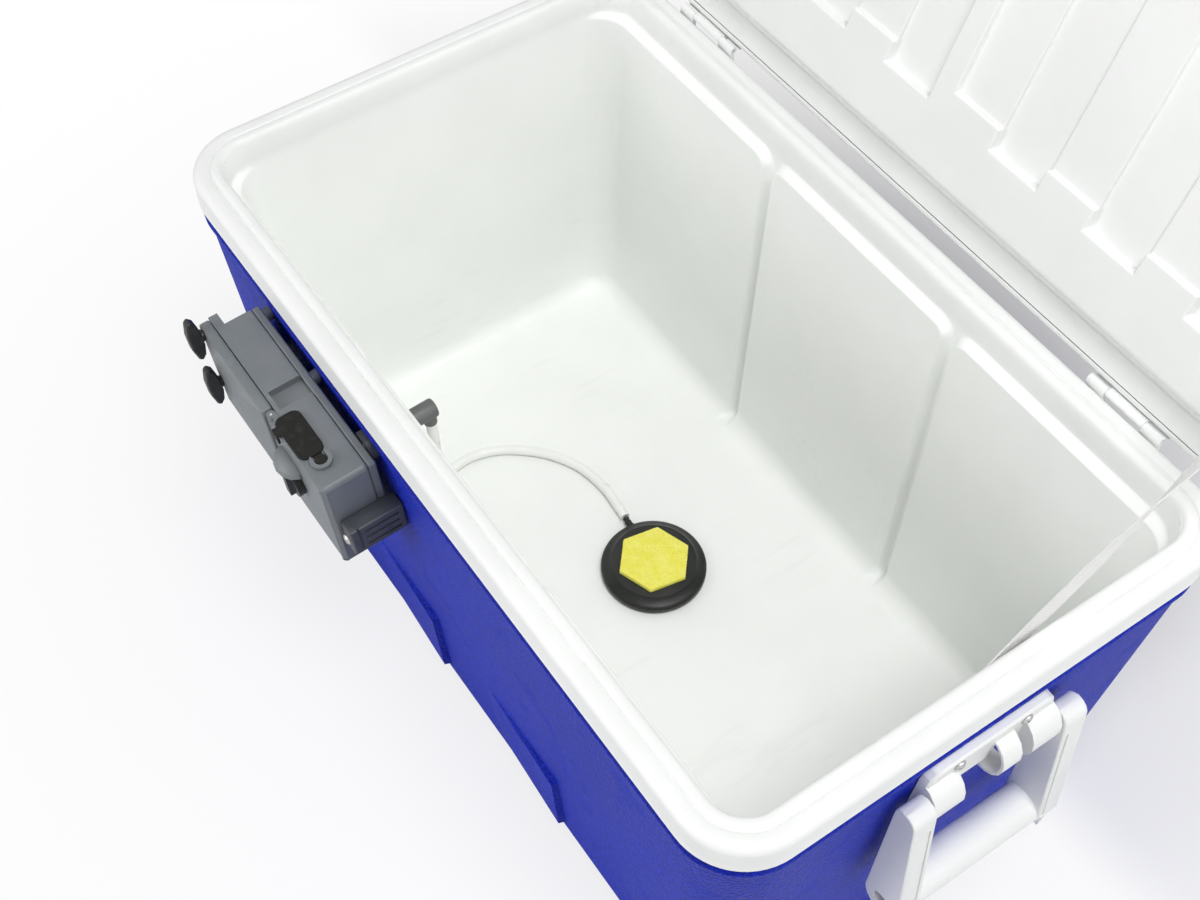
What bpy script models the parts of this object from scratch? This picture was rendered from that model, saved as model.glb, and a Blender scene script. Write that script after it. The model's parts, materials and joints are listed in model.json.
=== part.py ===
"""Aerated bait cooler: a hinged chest with a battery air pump hung on its front wall.

X runs along the chest, the front wall and the pump face -Y, and Z is up.
The origin is on the floor under the middle of the chest.
"""

import math

import bmesh
import bpy
from mathutils import Euler, Matrix, Vector

GAP = 0.0003
TURN_STEPS = 16
CORNER_STEPS = 5

# The rim of the chest
RIM_LENGTH = 0.660
RIM_WIDTH = 0.394
RIM_BOTTOM = 0.325
RIM_HEIGHT = 0.025
RIM_CORNER = 0.046
RIM_EDGE_RADIUS = 0.006
RIM_SKIN = 0.0024
BEAD_HEIGHT = 0.0015
GROOVE_INSET = 0.0124
GROOVE_HALF = 0.001
GROOVE_DEPTH = 0.0012

# The outer body
SHELL_WALL = 0.0025
BODY_DRAFT = 0.07
BOTTOM_RADIUS = 0.030
LEDGE_DROP = 0.009
LEDGE_HEIGHT = 0.007
LEDGE_PROUD = 0.0025
PAD_LENGTH = 0.085
PAD_HEIGHT = 0.075
PAD_BOTTOM = 0.0335
PAD_PROUD = 0.005
PAD_RIGHT_ENDS = (-0.025, 0.135)

# The inside
LINER_WALL = 0.0025
CAVITY_INSET = 0.0234
CAVITY_DRAFT = 0.03
CAVITY_CORNER = 0.025
CAVITY_FLOOR = 0.028
FLOOR_FILLET = 0.015
PANEL_DEPTH = 0.0075
PANEL_LEDGE = 0.005
CHANNEL_X = 0.099
CHANNEL_WIDTH = 0.012
CHANNEL_FLARE = 0.010

# The lid, drawn shut about its hinge line and then turned open
LID_OPEN = math.radians(110)
LID_HEIGHT = 0.040
LID_SKIN = 0.0025
LID_CROWN = 0.006
LID_EDGE_INSET = 0.003
LID_SEAT_GAP = 0.0005
PLUG_DEPTH = 0.012
PLUG_GROOVE_INSET = 0.0225
PLUG_GROOVE_WIDTH = 0.004
PLUG_GROOVE_DEPTH = 0.0012
PLUG_INSET = 0.037
POCKET_PITCH = 0.043
POCKETS_A_SIDE = 6
POCKET_RIB_HALF = 0.009
POCKET_STARTS = (0.077, 0.093)
POCKET_DEPTHS = (0.0075, 0.0045)

# The lid's hinges
HINGE_X = 0.221
HINGE_LENGTH = 0.064
HINGE_LEAF = 0.0025
HINGE_LEAF_HEIGHT = 0.021
HINGE_BARREL = 0.0028
HINGE_PIN = 0.0011
HINGE_KNUCKLE = 0.032
HINGE_SCREW_SPREAD = 0.044
HINGE_LEAF_DROP = 0.0072

# Screws
SCREW_HEAD = 0.0042
SCREW_HEAD_HEIGHT = 0.0022
SCREW_SHANK = 0.0018
SCREW_LENGTH = 0.011
HOLE_CLEARANCE = 0.0003

# The strap that stops the lid
STRAP_WIDTH = 0.020
STRAP_THICKNESS = 0.0012
STRAP_Y = 0.002
STRAP_DROP = 0.009
STRAP_LID_REACH = 0.245
STRAP_LID_INSET = 0.018
STRAP_RECESS_DEPTH = 0.0042
STRAP_RECESS_MARGIN = 0.0005
STRAP_RECESS_FRONT = 0.011
STRAP_RECESS_BACK = 0.020
STRAP_RECESS_WALL = 0.0015
STRAP_TAB_MARGIN = 0.0015
STRAP_TAB = 0.009
STRAP_STEPS = 40
STRAP_UPRIGHT = 0.17

# The carrying handles
BRACKET_LENGTH = 0.1006
BRACKET_HEIGHT = 0.037
BRACKET_DROP = 0.0185
BRACKET_THICKNESS = 0.0075
BRACKET_CORNER = 0.012
KNUCKLE_DEPTH = 0.021
KNUCKLE_HALF_HEIGHT = 0.020
KNUCKLE_DROP = 0.051
KNUCKLE_INNER = 0.027
KNUCKLE_OUTER = 0.0503
KNUCKLE_MIDDLE = (0.003, 0.018)
KNUCKLE_SKIN = 0.0025
BRACKET_SCREW_Y = 0.0265
BRACKET_SCREW_DROP = 0.0078
PIVOT_OUT = 0.0135
PIVOT_DROP = 0.045
PIVOT_RADIUS = 0.0042
PIVOT_REACH = 0.012
ARM_WIDTH = 0.018
ARM_HUB = 0.0088
HANDLE_DROP = 0.114
HANDLE_OUT = 0.0035
GRIP_RADIUS = 0.0147
GRIP_BORE = 0.0075
ARM_GROOVE = 0.0022

# The drain at the right end
DRAIN_FROM_BACK = 0.085
DRAIN_Z = 0.050
DRAIN_TUBE = 0.0105
DRAIN_BORE = 0.008
DRAIN_FLANGE = 0.017
DRAIN_FLANGE_THICKNESS = 0.003
DRAIN_OUT = 0.016
DRAIN_NUT = 0.015
DRAIN_NUT_THICKNESS = 0.005
DRAIN_CAP = 0.0145
DRAIN_CAP_WALL = 0.0025
DRAIN_WING_LENGTH = 0.026
DRAIN_WING_HEIGHT = 0.007
DRAIN_WING_THICKNESS = 0.004

# The pump unit: u along the wall, v out from it and w down it, from the rim's lower edge
PUMP_LEFT = -0.209
PUMP_RIGHT = -0.0445
PUMP_BACK = 0.006
PUMP_FRONT = 0.047
PUMP_TOP = 0.024
PUMP_BOTTOM = 0.113
PUMP_WALL = 0.0025
COVER_DEPTH = 0.0057
COVER_PLATE = 0.002
STANDOFF_RADIUS = 0.005
STANDOFF_US = (-0.2035, -0.135)
STANDOFF_W_INSET = 0.007
PARTITION_U = -0.1255
DOOR_BACK = 0.0403
DOOR_FRONT = 0.0483
DOOR_LEFT = -0.219
DOOR_RIGHT = -0.125
DOOR_WALL = 0.002
DOOR_HINGE_U = -0.121
DOOR_HINGE_V = 0.0435
DOOR_BARREL = 0.0032
DOOR_PIN = 0.0011
DOOR_LUG_LENGTH = 0.013
FRONT_BLOCK_LEFT = -0.1145
KNOB_U = -0.2142
KNOB_WS = (0.0305, 0.0845)
KNOB_SHAFT = 0.002
KNOB_HUB = 0.0045
KNOB_HUB_LENGTH = 0.0015
KNOB_WING_LENGTH = 0.041
KNOB_WING_HEIGHT = 0.010
KNOB_WING_THICKNESS = 0.0075
LUG_DEPTH = 0.007
LUG_WIDTH = 0.012
LUG_HOLE = 0.003
SLOT_U = (-0.137, -0.1255)
SLOT_V = (0.012, 0.036)
SLOT_DEPTH = 0.0016
HOOD_U = -0.096
HOOD_W = 0.050
HOOD_RADIUS = 0.016
HOOD_OUT = 0.012
HOOD_RISE = 0.009
SWITCH_U = -0.094
SWITCH_W = 0.066
SWITCH_RADIUS = 0.0125
SWITCH_LENGTH = 0.009
SWITCH_SHAFT = 0.003
COVER_U = (-0.1135, -0.0725)
COVER_V = (0.027, 0.046)
COVER_FLAP = 0.0016
COVER_CORNER = 0.006
COVER_PLUG = 0.0035
COVER_PLUG_INSET = 0.0045
COVER_TAB = 0.008
SOCKET_DEPTH = 0.013
ROOT_U = -0.0665
ROOT_V = 0.0345
ROOT_RADIUS = 0.0042
ROOT_HEIGHT = 0.0026
LUG_RING = 0.003
CLIP_WIDTH = 0.0142
CLIP_PLACES = {"right": (0.0625, 0.0895, 0.042), "left": (0.056, 0.080, 0.031)}
CLIP_FLANGE = 0.0055
CLIP_FLANGE_STEP = 0.0016
CLIP_GROOVE = 0.003
CLIP_GROOVE_DEPTH = 0.0012
CLIP_GROOVE_PITCH = 0.0075

# What the pump unit holds
CELL_RADIUS = 0.0171
CELL_LENGTH = 0.0600
CELL_NUB_RADIUS = 0.0047
CELL_NUB = 0.0015
CELL_US = (-0.1852, -0.1498)
CELL_V = 0.0254
CELL_TOP = 0.0375
CONTACT_THICKNESS = 0.0008
CONTACT_WIDTH = 0.012
SPRING_BASE = 0.0075
SPRING_TIP = 0.0045
MOTOR_RADIUS = 0.012
MOTOR_LENGTH = 0.027
MOTOR_U = -0.104
MOTOR_V = 0.0235
MOTOR_SHAFT = 0.0012
ECCENTRIC_RADIUS = 0.006
ECCENTRIC_OFFSET = 0.0015
ECCENTRIC_WIDTH = 0.005
ECCENTRIC_U = -0.0815
VALVE_HALF = 0.0145
VALVE_TOP = 0.046
VALVE_BOTTOM = 0.066
CHAMBER_RADIUS = 0.0115
CHAMBER_DEPTH = 0.007
DIAPHRAGM_THICKNESS = 0.002
DIAPHRAGM_STEM = 0.003
STROKE = 0.0015

# The way of the air through the wall
OUTLET_U = -0.062
OUTLET_W = 0.0275
NIPPLE_RADIUS = 0.0024
BULKHEAD_TUBE = 0.005
BULKHEAD_BORE = 0.0028
BULKHEAD_DISC = 0.011
BULKHEAD_DISC_THICKNESS = 0.005
ELBOW_RADIUS = 0.0069
ELBOW_LENGTH = 0.022
ELBOW_OVERLAP = 0.009
SPIGOT_RADIUS = 0.0048
SPIGOT_DROP = 0.0130
SPIGOT_BACK = 0.0055
AIR_PASSAGE = 0.0022

# The tube and the stone
TUBE_RADIUS = 0.004
TUBE_STEP = 0.0115
TUBE_ROUTE = (
    (-0.0622, -0.1465, 0.2750),
    (-0.0640, -0.1452, 0.2540),
    (-0.0710, -0.1430, 0.2240),
    (-0.0840, -0.1400, 0.1850),
    (-0.1020, -0.1350, 0.1430),
    (-0.1240, -0.1280, 0.1020),
    (-0.1470, -0.1180, 0.0660),
    (-0.1670, -0.1040, 0.0430),
    (-0.1810, -0.0840, 0.0345),
    (-0.1865, -0.0600, 0.0326),
    (-0.1820, -0.0380, 0.0326),
    (-0.1700, -0.0180, 0.0326),
    (-0.1500, 0.0020, 0.0326),
    (-0.1250, 0.0155, 0.0326),
    (-0.0980, 0.0205, 0.0326),
    (-0.0790, 0.0198, 0.0326),
)
STONE_X = -0.0095
STONE_Y = 0.0096
STONE_RADIUS = 0.043
STONE_HEIGHT = 0.013
STONE_TOP_RADIUS = 0.0345
HEX_RADIUS = 0.0305
HEX_TURN = math.radians(49.3)
HEX_THICKNESS = 0.0065
HEX_SINK = 0.003
BARB_RADIUS = 0.0026
BARB_LENGTH = 0.010
BARB_HEIGHT = 0.0043
BARB_TURN = math.radians(171)
STONE_CHAMBER = 0.012

RIM_TOP = RIM_BOTTOM + RIM_HEIGHT
PLATE_UNDERSIDE = RIM_TOP - RIM_SKIN
BODY_INSET = RIM_SKIN + GAP + 0.0003
HALF_LENGTH = RIM_LENGTH / 2
HALF_WIDTH = RIM_WIDTH / 2
DRAFT_TURN = math.atan(BODY_DRAFT)
CAVITY_TURN = math.atan(CAVITY_DRAFT)
HINGE_Y = HALF_WIDTH + HINGE_BARREL + 2 * GAP
HINGE_Z = RIM_TOP + BEAD_HEIGHT / 2
LID_SEAT = RIM_TOP + BEAD_HEIGHT + LID_SEAT_GAP

for old in list(bpy.data.objects):
    bpy.data.objects.remove(old, do_unlink=True)

pieces = bpy.data.collections.new("aerated_bait_cooler")
cutters = bpy.data.collections.new("cutters")
bpy.context.scene.collection.children.link(pieces)
bpy.context.scene.collection.children.link(cutters)
cutters.hide_render = True


def material(name, colour, roughness, metallic=0.0):
    made = bpy.data.materials.new(name)
    made.use_nodes = True
    shader = made.node_tree.nodes["Principled BSDF"]
    shader.inputs["Base Color"].default_value = (*colour, 1.0)
    shader.inputs["Roughness"].default_value = roughness
    shader.inputs["Metallic"].default_value = metallic
    return made


def empty(name, location, rotation=(0.0, 0.0, 0.0), parent=None):
    made = bpy.data.objects.new(name, None)
    made.location = location
    made.rotation_euler = rotation
    made.parent = parent
    pieces.objects.link(made)
    return made


def mesh_of(bm):
    bmesh.ops.recalc_face_normals(bm, faces=bm.faces)
    made = bpy.data.meshes.new("shape")
    bm.to_mesh(made)
    bm.free()
    return made


def piece(name, mesh, look, parent=None, location=(0.0, 0.0, 0.0), rotation=(0.0, 0.0, 0.0), smooth=True):
    made = bpy.data.objects.new(name, mesh)
    made.location = location
    made.rotation_euler = rotation
    made.parent = parent
    if not mesh.materials:
        mesh.materials.append(look)
    if smooth:
        mesh.shade_smooth()
        mesh.set_sharp_from_angle(angle=math.radians(35))
    pieces.objects.link(made)
    return made


def cutter(name, mesh, parent=None, location=(0.0, 0.0, 0.0), rotation=(0.0, 0.0, 0.0)):
    made = bpy.data.objects.new(name, mesh)
    made.location = location
    made.rotation_euler = rotation
    made.parent = parent
    made.hide_render = True
    made.display_type = "WIRE"
    cutters.objects.link(made)
    return made


def combine(target, tool, operation):
    step = target.modifiers.new(tool.name, "BOOLEAN")
    step.operation = operation
    step.solver = "EXACT"
    step.object = tool


def bevel(target, width, segments=2, angle=30):
    step = target.modifiers.new("rounded edges", "BEVEL")
    step.width = width
    step.segments = segments
    step.limit_method = "ANGLE"
    step.angle_limit = math.radians(angle)


def add_box(bm, low, high):
    """A box between two corners, added to an open mesh."""
    low = Vector(low)
    high = Vector(high)
    place = Matrix.Translation((low + high) / 2) @ Matrix.Diagonal((*(high - low), 1.0))
    bmesh.ops.create_cube(bm, size=1.0, matrix=place)


def add_rod(bm, start, end, radius, end_radius=None, steps=TURN_STEPS):
    """A round rod or cone from one point to another, added to an open mesh."""
    start = Vector(start)
    end = Vector(end)
    along = end - start
    turn = Vector((0.0, 0.0, 1.0)).rotation_difference(along).to_matrix().to_4x4()
    place = Matrix.Translation((start + end) / 2) @ turn
    last = radius if end_radius is None else end_radius
    bmesh.ops.create_cone(bm, cap_ends=True, segments=steps, radius1=radius, radius2=last,
                          depth=along.length, matrix=place)


def box_mesh(*corners):
    bm = bmesh.new()
    for low, high in corners:
        add_box(bm, low, high)
    return mesh_of(bm)


def rod_mesh(start, end, radius, end_radius=None, steps=TURN_STEPS):
    bm = bmesh.new()
    add_rod(bm, start, end, radius, end_radius, steps)
    return mesh_of(bm)


def ring_points(half_x, half_y, radius, z, steps=CORNER_STEPS):
    """A rectangle with round corners, once round."""
    points = []
    for quarter, (sx, sy) in enumerate(((1, 1), (-1, 1), (-1, -1), (1, -1))):
        centre_x = sx * (half_x - radius)
        centre_y = sy * (half_y - radius)
        for step in range(steps + 1):
            turn = math.pi / 2 * (quarter + step / steps)
            points.append((centre_x + radius * math.cos(turn), centre_y + radius * math.sin(turn), z))
    return points


def loft_mesh(rings, steps=CORNER_STEPS):
    """A closed solid through rings of (half length, half width, corner radius, height)."""
    bm = bmesh.new()
    loops = [[bm.verts.new(p) for p in ring_points(*ring, steps)] for ring in rings]
    for lower, upper in zip(loops, loops[1:]):
        for i in range(len(lower)):
            j = (i + 1) % len(lower)
            bm.faces.new((lower[i], lower[j], upper[j], upper[i]))
    bm.faces.new(loops[0])
    bm.faces.new(loops[-1])
    return mesh_of(bm)


def outline_mesh(points, thickness):
    """A flat outline in XY, thickened along Z about its middle."""
    curve = bpy.data.curves.new("outline", "CURVE")
    curve.dimensions = "2D"
    curve.fill_mode = "BOTH"
    curve.extrude = thickness / 2
    spline = curve.splines.new("POLY")
    spline.points.add(len(points) - 1)
    for place, (x, y) in zip(spline.points, points):
        place.co = (x, y, 0.0, 1.0)
    spline.use_cyclic_u = True
    drawn = bpy.data.objects.new("outline", curve)
    bpy.context.scene.collection.objects.link(drawn)
    bpy.context.view_layer.update()
    made = bpy.data.meshes.new_from_object(drawn)
    bpy.data.objects.remove(drawn)
    bm = bmesh.new()
    bm.from_mesh(made)
    bmesh.ops.remove_doubles(bm, verts=bm.verts, dist=1e-6)
    bpy.data.meshes.remove(made)
    return mesh_of(bm)


def arc(centre, radius, start, end, steps):
    """Points of an arc, its angles in degrees."""
    points = []
    for step in range(steps + 1):
        turn = math.radians(start + (end - start) * step / steps)
        points.append((centre[0] + radius * math.cos(turn), centre[1] + radius * math.sin(turn)))
    return points


def turned(name, profile, look, parent=None, location=(0.0, 0.0, 0.0), rotation=(0.0, 0.0, 0.0),
           steps=TURN_STEPS,
           bored=False):
    """A profile of (radius, height), from its top down its outer side, turned about Z.

    Bored closes it inside.
    """
    mesh = bpy.data.meshes.new(name)
    edges = [(i, i + 1) for i in range(len(profile) - 1)]
    if bored:
        edges.append((len(profile) - 1, 0))
    mesh.from_pydata([(r, 0.0, z) for r, z in profile], edges, [])
    made = bpy.data.objects.new(name, mesh)
    made.location = location
    made.rotation_euler = rotation
    made.parent = parent
    mesh.materials.append(look)
    turn = made.modifiers.new("turn", "SCREW")
    turn.steps = steps
    turn.render_steps = steps
    turn.use_merge_vertices = True
    turn.merge_threshold = 0.00001
    turn.use_smooth_shade = False
    pieces.objects.link(made)
    return made


def screw(name, look, parent, location, rotation, length=SCREW_LENGTH):
    """A pan-head screw: its head rises along local Z from the seat, and its shank goes down."""
    profile = ((0.0, SCREW_HEAD_HEIGHT), (SCREW_HEAD * 0.6, SCREW_HEAD_HEIGHT),
               (SCREW_HEAD, SCREW_HEAD_HEIGHT * 0.4),
               (SCREW_HEAD, 0.0), (SCREW_SHANK, 0.0), (SCREW_SHANK, SCREW_SHANK - length), (0.0, -length))
    return turned(name, profile, look, parent, location, rotation, steps=8)


white = material("white_plastic", (0.90, 0.90, 0.88), 0.35)
white_skin = material("white_liner", (0.86, 0.87, 0.84), 0.38)
blue = material("blue_plastic", (0.015, 0.035, 0.42), 0.45)
foam = material("cream_foam", (0.78, 0.70, 0.45), 0.9)
grey = material("grey_plastic", (0.18, 0.20, 0.20), 0.45)
dark_grey = material("dark_grey_plastic", (0.09, 0.10, 0.11), 0.45)
black = material("black_plastic", (0.02, 0.022, 0.018), 0.4)
rubber = material("black_rubber", (0.022, 0.021, 0.018), 0.7)
steel = material("steel", (0.6, 0.6, 0.6), 0.3, 1.0)
yellow = material("yellow_stone", (0.93, 0.86, 0.16), 0.85)
clear = material("clear_tube", (0.82, 0.84, 0.80), 0.25)
webbing = material("white_strap", (0.88, 0.88, 0.87), 0.5)
cell_wrap = material("cell_wrap", (0.10, 0.10, 0.11), 0.3, 0.4)


def body_ring(z, inset):
    """The outer body's ring at a height, drafted below the rim and let in by an inset."""
    draft = BODY_DRAFT * max(0.0, RIM_BOTTOM - z)
    inward = BODY_INSET + draft + inset
    return (HALF_LENGTH - inward, HALF_WIDTH - inward, RIM_CORNER - BODY_INSET - inset, z)


def body_rings(inset, top):
    """The body's rings from its rounded bottom edge up to a height."""
    rings = []
    radius = BOTTOM_RADIUS - inset
    for step in range(5):
        turn = math.pi / 2 * step / 4
        half_x, half_y, corner, z = body_ring(BOTTOM_RADIUS - radius * math.cos(turn), inset)
        inward = radius * (1.0 - math.sin(turn))
        rings.append((half_x - inward, half_y - inward, corner - inward * 0.8, z))
    rings.append(body_ring(RIM_BOTTOM, inset))
    rings.append(body_ring(top, inset))
    return rings


def cavity_rings(offset, lip):
    """The rings of the inside, grown outwards by an offset; lip adds the rounded inner edge of the rim."""
    rings = []
    fillet = FLOOR_FILLET + offset
    for step in range(4):
        turn = math.pi / 2 * step / 3
        z = CAVITY_FLOOR + FLOOR_FILLET - fillet * math.cos(turn)
        inward = fillet * (1.0 - math.sin(turn)) + CAVITY_DRAFT * (RIM_BOTTOM - z) - offset
        rings.append((HALF_LENGTH - CAVITY_INSET - inward, HALF_WIDTH - CAVITY_INSET - PANEL_DEPTH - inward,
                      CAVITY_CORNER + offset - fillet * (1.0 - math.sin(turn)) * 0.6, z))
    side = CAVITY_INSET - offset
    corner = CAVITY_CORNER + offset
    rings.append((HALF_LENGTH - side, HALF_WIDTH - side - PANEL_DEPTH, corner, RIM_BOTTOM - offset))
    rings.append((HALF_LENGTH - side, HALF_WIDTH - side, corner, RIM_BOTTOM + PANEL_LEDGE - offset))
    if lip:
        for inset, z in ((0.0222, RIM_TOP - 0.003), (0.0208, RIM_TOP), (0.0196, RIM_TOP + 0.0013),
                         (0.0180, RIM_TOP + 0.003)):
            rings.append((HALF_LENGTH - inset, HALF_WIDTH - inset, RIM_CORNER - inset, z))
    else:
        rings.append((HALF_LENGTH - side, HALF_WIDTH - side, corner, RIM_TOP + 0.003))
    return rings


def channels_mesh(offset):
    """The four grooves between the raised wall panels, grown outwards by an offset."""
    bm = bmesh.new()
    half = CHANNEL_WIDTH / 2 + offset
    flare = CHANNEL_FLARE - offset
    bottom = CAVITY_FLOOR + 0.0006 - offset
    bend = RIM_BOTTOM - offset - flare
    top = RIM_BOTTOM + PANEL_LEDGE * 0.8 + offset
    end = half + flare + offset
    right = [(half, bottom)] + arc((half + flare, bend), flare, 180, 90, 4)
    if offset:
        right.append((end, bend + flare + GAP))
    right.append((end, top))
    points = right + [(-x, z) for x, z in reversed(right)]
    depth = PANEL_DEPTH + 0.004 + 2 * offset
    upright = Matrix.Rotation(math.pi / 2, 4, "X")
    for side in (-1, 1):
        for x in (-CHANNEL_X, CHANNEL_X):
            shape = outline_mesh([(px, pz - RIM_BOTTOM) for px, pz in points], depth)
            shape.transform(upright)
            shape.transform(Matrix.Translation((0.0, side * (offset - depth / 2), 0.0)))
            shape.transform(Matrix.Rotation(-side * CAVITY_TURN, 4, "X"))
            shape.transform(Matrix.Translation((x, side * (HALF_WIDTH - CAVITY_INSET), RIM_BOTTOM)))
            bm.from_mesh(shape)
            bpy.data.meshes.remove(shape)
    return mesh_of(bm)


def rim_rings():
    """From the underside of the rim's skirt, up round its outer edge to the top of the bead."""
    top = RIM_TOP
    edge = RIM_EDGE_RADIUS
    bead = top + BEAD_HEIGHT
    places = [(RIM_SKIN, PLATE_UNDERSIDE), (RIM_SKIN, RIM_BOTTOM), (0.0, RIM_BOTTOM)]
    places += [(edge - edge * math.cos(turn), top - edge + edge * math.sin(turn)) for turn in (0.0, 0.52,
                                                                                               1.05, 1.57)]
    places += [(GROOVE_INSET - GROOVE_HALF, top), (GROOVE_INSET, top - GROOVE_DEPTH),
               (GROOVE_INSET + GROOVE_HALF, top + BEAD_HEIGHT * 0.3),
               (GROOVE_INSET + 3 * GROOVE_HALF, bead)]
    return [(HALF_LENGTH - i, HALF_WIDTH - i, RIM_CORNER - i, z) for i, z in places]


# Frames on the walls, into which the pump, the handles and the drain are built
pump_frame = empty("pump_frame", (0.0, -(HALF_WIDTH - BODY_INSET), RIM_BOTTOM), (DRAFT_TURN, 0.0, 0.0))
end_frames = {
    "right": empty("right_end", (HALF_LENGTH - BODY_INSET, 0.0, RIM_BOTTOM), (0.0, DRAFT_TURN, 0.0)),
    "left": empty("left_end", (BODY_INSET - HALF_LENGTH, 0.0, RIM_BOTTOM), (0.0, DRAFT_TURN, math.pi)),
}
drain_out = HALF_LENGTH - BODY_INSET - BODY_DRAFT * (RIM_BOTTOM - DRAIN_Z)
drain_frame = empty("drain_frame", (drain_out, HALF_WIDTH - DRAIN_FROM_BACK, DRAIN_Z),
                    (0.0, DRAFT_TURN + math.pi / 2, 0.0))
lid_hinge = empty("lid_hinge", (0.0, HINGE_Y, HINGE_Z), (-LID_OPEN, 0.0, 0.0))
hinge_screw_z = RIM_TOP - HINGE_LEAF_DROP - HINGE_LEAF_HEIGHT / 2
strap_z = RIM_BOTTOM - STRAP_DROP
strap_wall_x = HALF_LENGTH - CAVITY_INSET - CAVITY_DRAFT * STRAP_DROP
strap_lid_x = HALF_LENGTH - STRAP_LID_INSET


def clip_middle(side):
    """How far along the wall a clip's middle lies, against its end of the pump unit."""
    if side == "left":
        return PUMP_LEFT - CLIP_WIDTH / 2 - GAP
    return PUMP_RIGHT + CLIP_WIDTH / 2 + GAP


def rim_hole_rods(bm, extra):
    """Rods where the wall screws, the drain and the air fitting pass, each wider than its piece by extra."""
    for side, frame in end_frames.items():
        place = Matrix.LocRotScale(frame.location, Euler(frame.rotation_euler), None)
        for y in (-BRACKET_SCREW_Y, BRACKET_SCREW_Y):
            drop = -BRACKET_DROP - BRACKET_SCREW_DROP
            add_rod(bm, place @ Vector((0.004, y, drop)), place @ Vector((-SCREW_LENGTH, y, drop)),
                    SCREW_SHANK + extra, steps=8)
    place = Matrix.LocRotScale(pump_frame.location, Euler(pump_frame.rotation_euler), None)
    for side, (top, bottom, _) in CLIP_PLACES.items():
        u = clip_middle(side)
        w = (top + bottom) / 2
        add_rod(bm, place @ Vector((u, -0.004, -w)), place @ Vector((u, SCREW_LENGTH, -w)),
                SCREW_SHANK + extra, steps=8)
    outlet = -OUTLET_W
    add_rod(bm, place @ Vector((OUTLET_U, -0.006, outlet)), place @ Vector((OUTLET_U, 0.048, outlet)),
            BULKHEAD_TUBE + extra)
    place = Matrix.LocRotScale(drain_frame.location, Euler(drain_frame.rotation_euler), None)
    add_rod(bm, place @ Vector((0.0, 0.0, -0.030)), place @ Vector((0.0, 0.0, 0.006)), DRAIN_TUBE + extra)


def hinge_hole_rods(bm, extra):
    for x in (-HINGE_X, HINGE_X):
        for shift in (-HINGE_SCREW_SPREAD / 2, HINGE_SCREW_SPREAD / 2):
            add_rod(bm, (x + shift, HALF_WIDTH + 0.004, hinge_screw_z),
                    (x + shift, HALF_WIDTH - SCREW_LENGTH, hinge_screw_z), SCREW_SHANK + extra, steps=8)


def strap_hole_rod(bm, extra):
    add_rod(bm, (strap_wall_x - 0.004, STRAP_Y, strap_z), (strap_wall_x + SCREW_LENGTH, STRAP_Y, strap_z),
            SCREW_SHANK + extra, steps=8)


bm = bmesh.new()
rim_hole_rods(bm, HOLE_CLEARANCE)
hinge_hole_rods(bm, HOLE_CLEARANCE)
strap_hole_rod(bm, HOLE_CLEARANCE)
wall_holes = cutter("wall_holes", mesh_of(bm))

# The blue outer body, with its ledge under the rim and the swelling pads low on the front wall
shell_top = PLATE_UNDERSIDE - GAP
outer_shell = piece("outer_shell", loft_mesh(body_rings(0.0, shell_top)), blue)
ledge_mid = RIM_BOTTOM - LEDGE_DROP - LEDGE_HEIGHT / 2
ledge_rings = []
for drop, out in ((LEDGE_HEIGHT / 2, -0.001), (LEDGE_HEIGHT / 4, LEDGE_PROUD),
                  (-LEDGE_HEIGHT / 4, LEDGE_PROUD),
                  (-LEDGE_HEIGHT / 2, -0.001)):
    ledge_rings.append(body_ring(ledge_mid - drop, -out))
combine(outer_shell, cutter("ledge", loft_mesh(ledge_rings)), "UNION")
pad_base = HALF_WIDTH - BODY_INSET - BODY_DRAFT * (RIM_BOTTOM - PAD_BOTTOM)
pad_outline = [(0.0, -0.006), (0.0, 0.0005), (-PAD_LENGTH, PAD_PROUD), (-PAD_LENGTH, -0.006)]
for number, right_end in enumerate(PAD_RIGHT_ENDS):
    pad = outline_mesh(pad_outline, PAD_HEIGHT)
    pad.transform(Matrix.Rotation(math.pi, 4, "Z"))
    pad.transform(Matrix.Translation((-PAD_LENGTH, 0.0, PAD_HEIGHT / 2)))
    pad.transform(Matrix.Rotation(DRAFT_TURN, 4, "X"))
    place = (right_end, -pad_base, PAD_BOTTOM)
    combine(outer_shell, cutter("pad_" + str(number), pad, location=place), "UNION")
combine(outer_shell, cutter("shell_inside", loft_mesh(body_rings(SHELL_WALL, RIM_TOP))), "DIFFERENCE")
combine(outer_shell, wall_holes, "DIFFERENCE")

# The foam between the outer body and the liner
foam_core = piece("foam_core", loft_mesh(body_rings(SHELL_WALL + GAP, shell_top)), foam)
foam_inside = cutter("foam_inside", loft_mesh(cavity_rings(LINER_WALL + GAP, False)))
combine(foam_core, foam_inside, "DIFFERENCE")
combine(foam_core, cutter("foam_channels", channels_mesh(LINER_WALL + GAP)), "DIFFERENCE")
combine(foam_core, wall_holes, "DIFFERENCE")

# The white liner, one moulding with the rim
liner_rings = cavity_rings(LINER_WALL, False)[:-1]
side = CAVITY_INSET - LINER_WALL
liner_rings.append((HALF_LENGTH - side, HALF_WIDTH - side, CAVITY_CORNER + LINER_WALL, PLATE_UNDERSIDE))
inner_liner = piece("inner_liner", loft_mesh(liner_rings + rim_rings()), white_skin)
combine(inner_liner, cutter("liner_channels", channels_mesh(LINER_WALL)), "UNION")
combine(inner_liner, cutter("liner_inside", loft_mesh(cavity_rings(0.0, True))), "DIFFERENCE")
combine(inner_liner, cutter("channel_insides", channels_mesh(0.0)), "DIFFERENCE")
combine(inner_liner, wall_holes, "DIFFERENCE")


def lid_point(y, z):
    """A point of the closed lid's cross-section, seen from the hinge line."""
    return y - HINGE_Y, z - HINGE_Z


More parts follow.
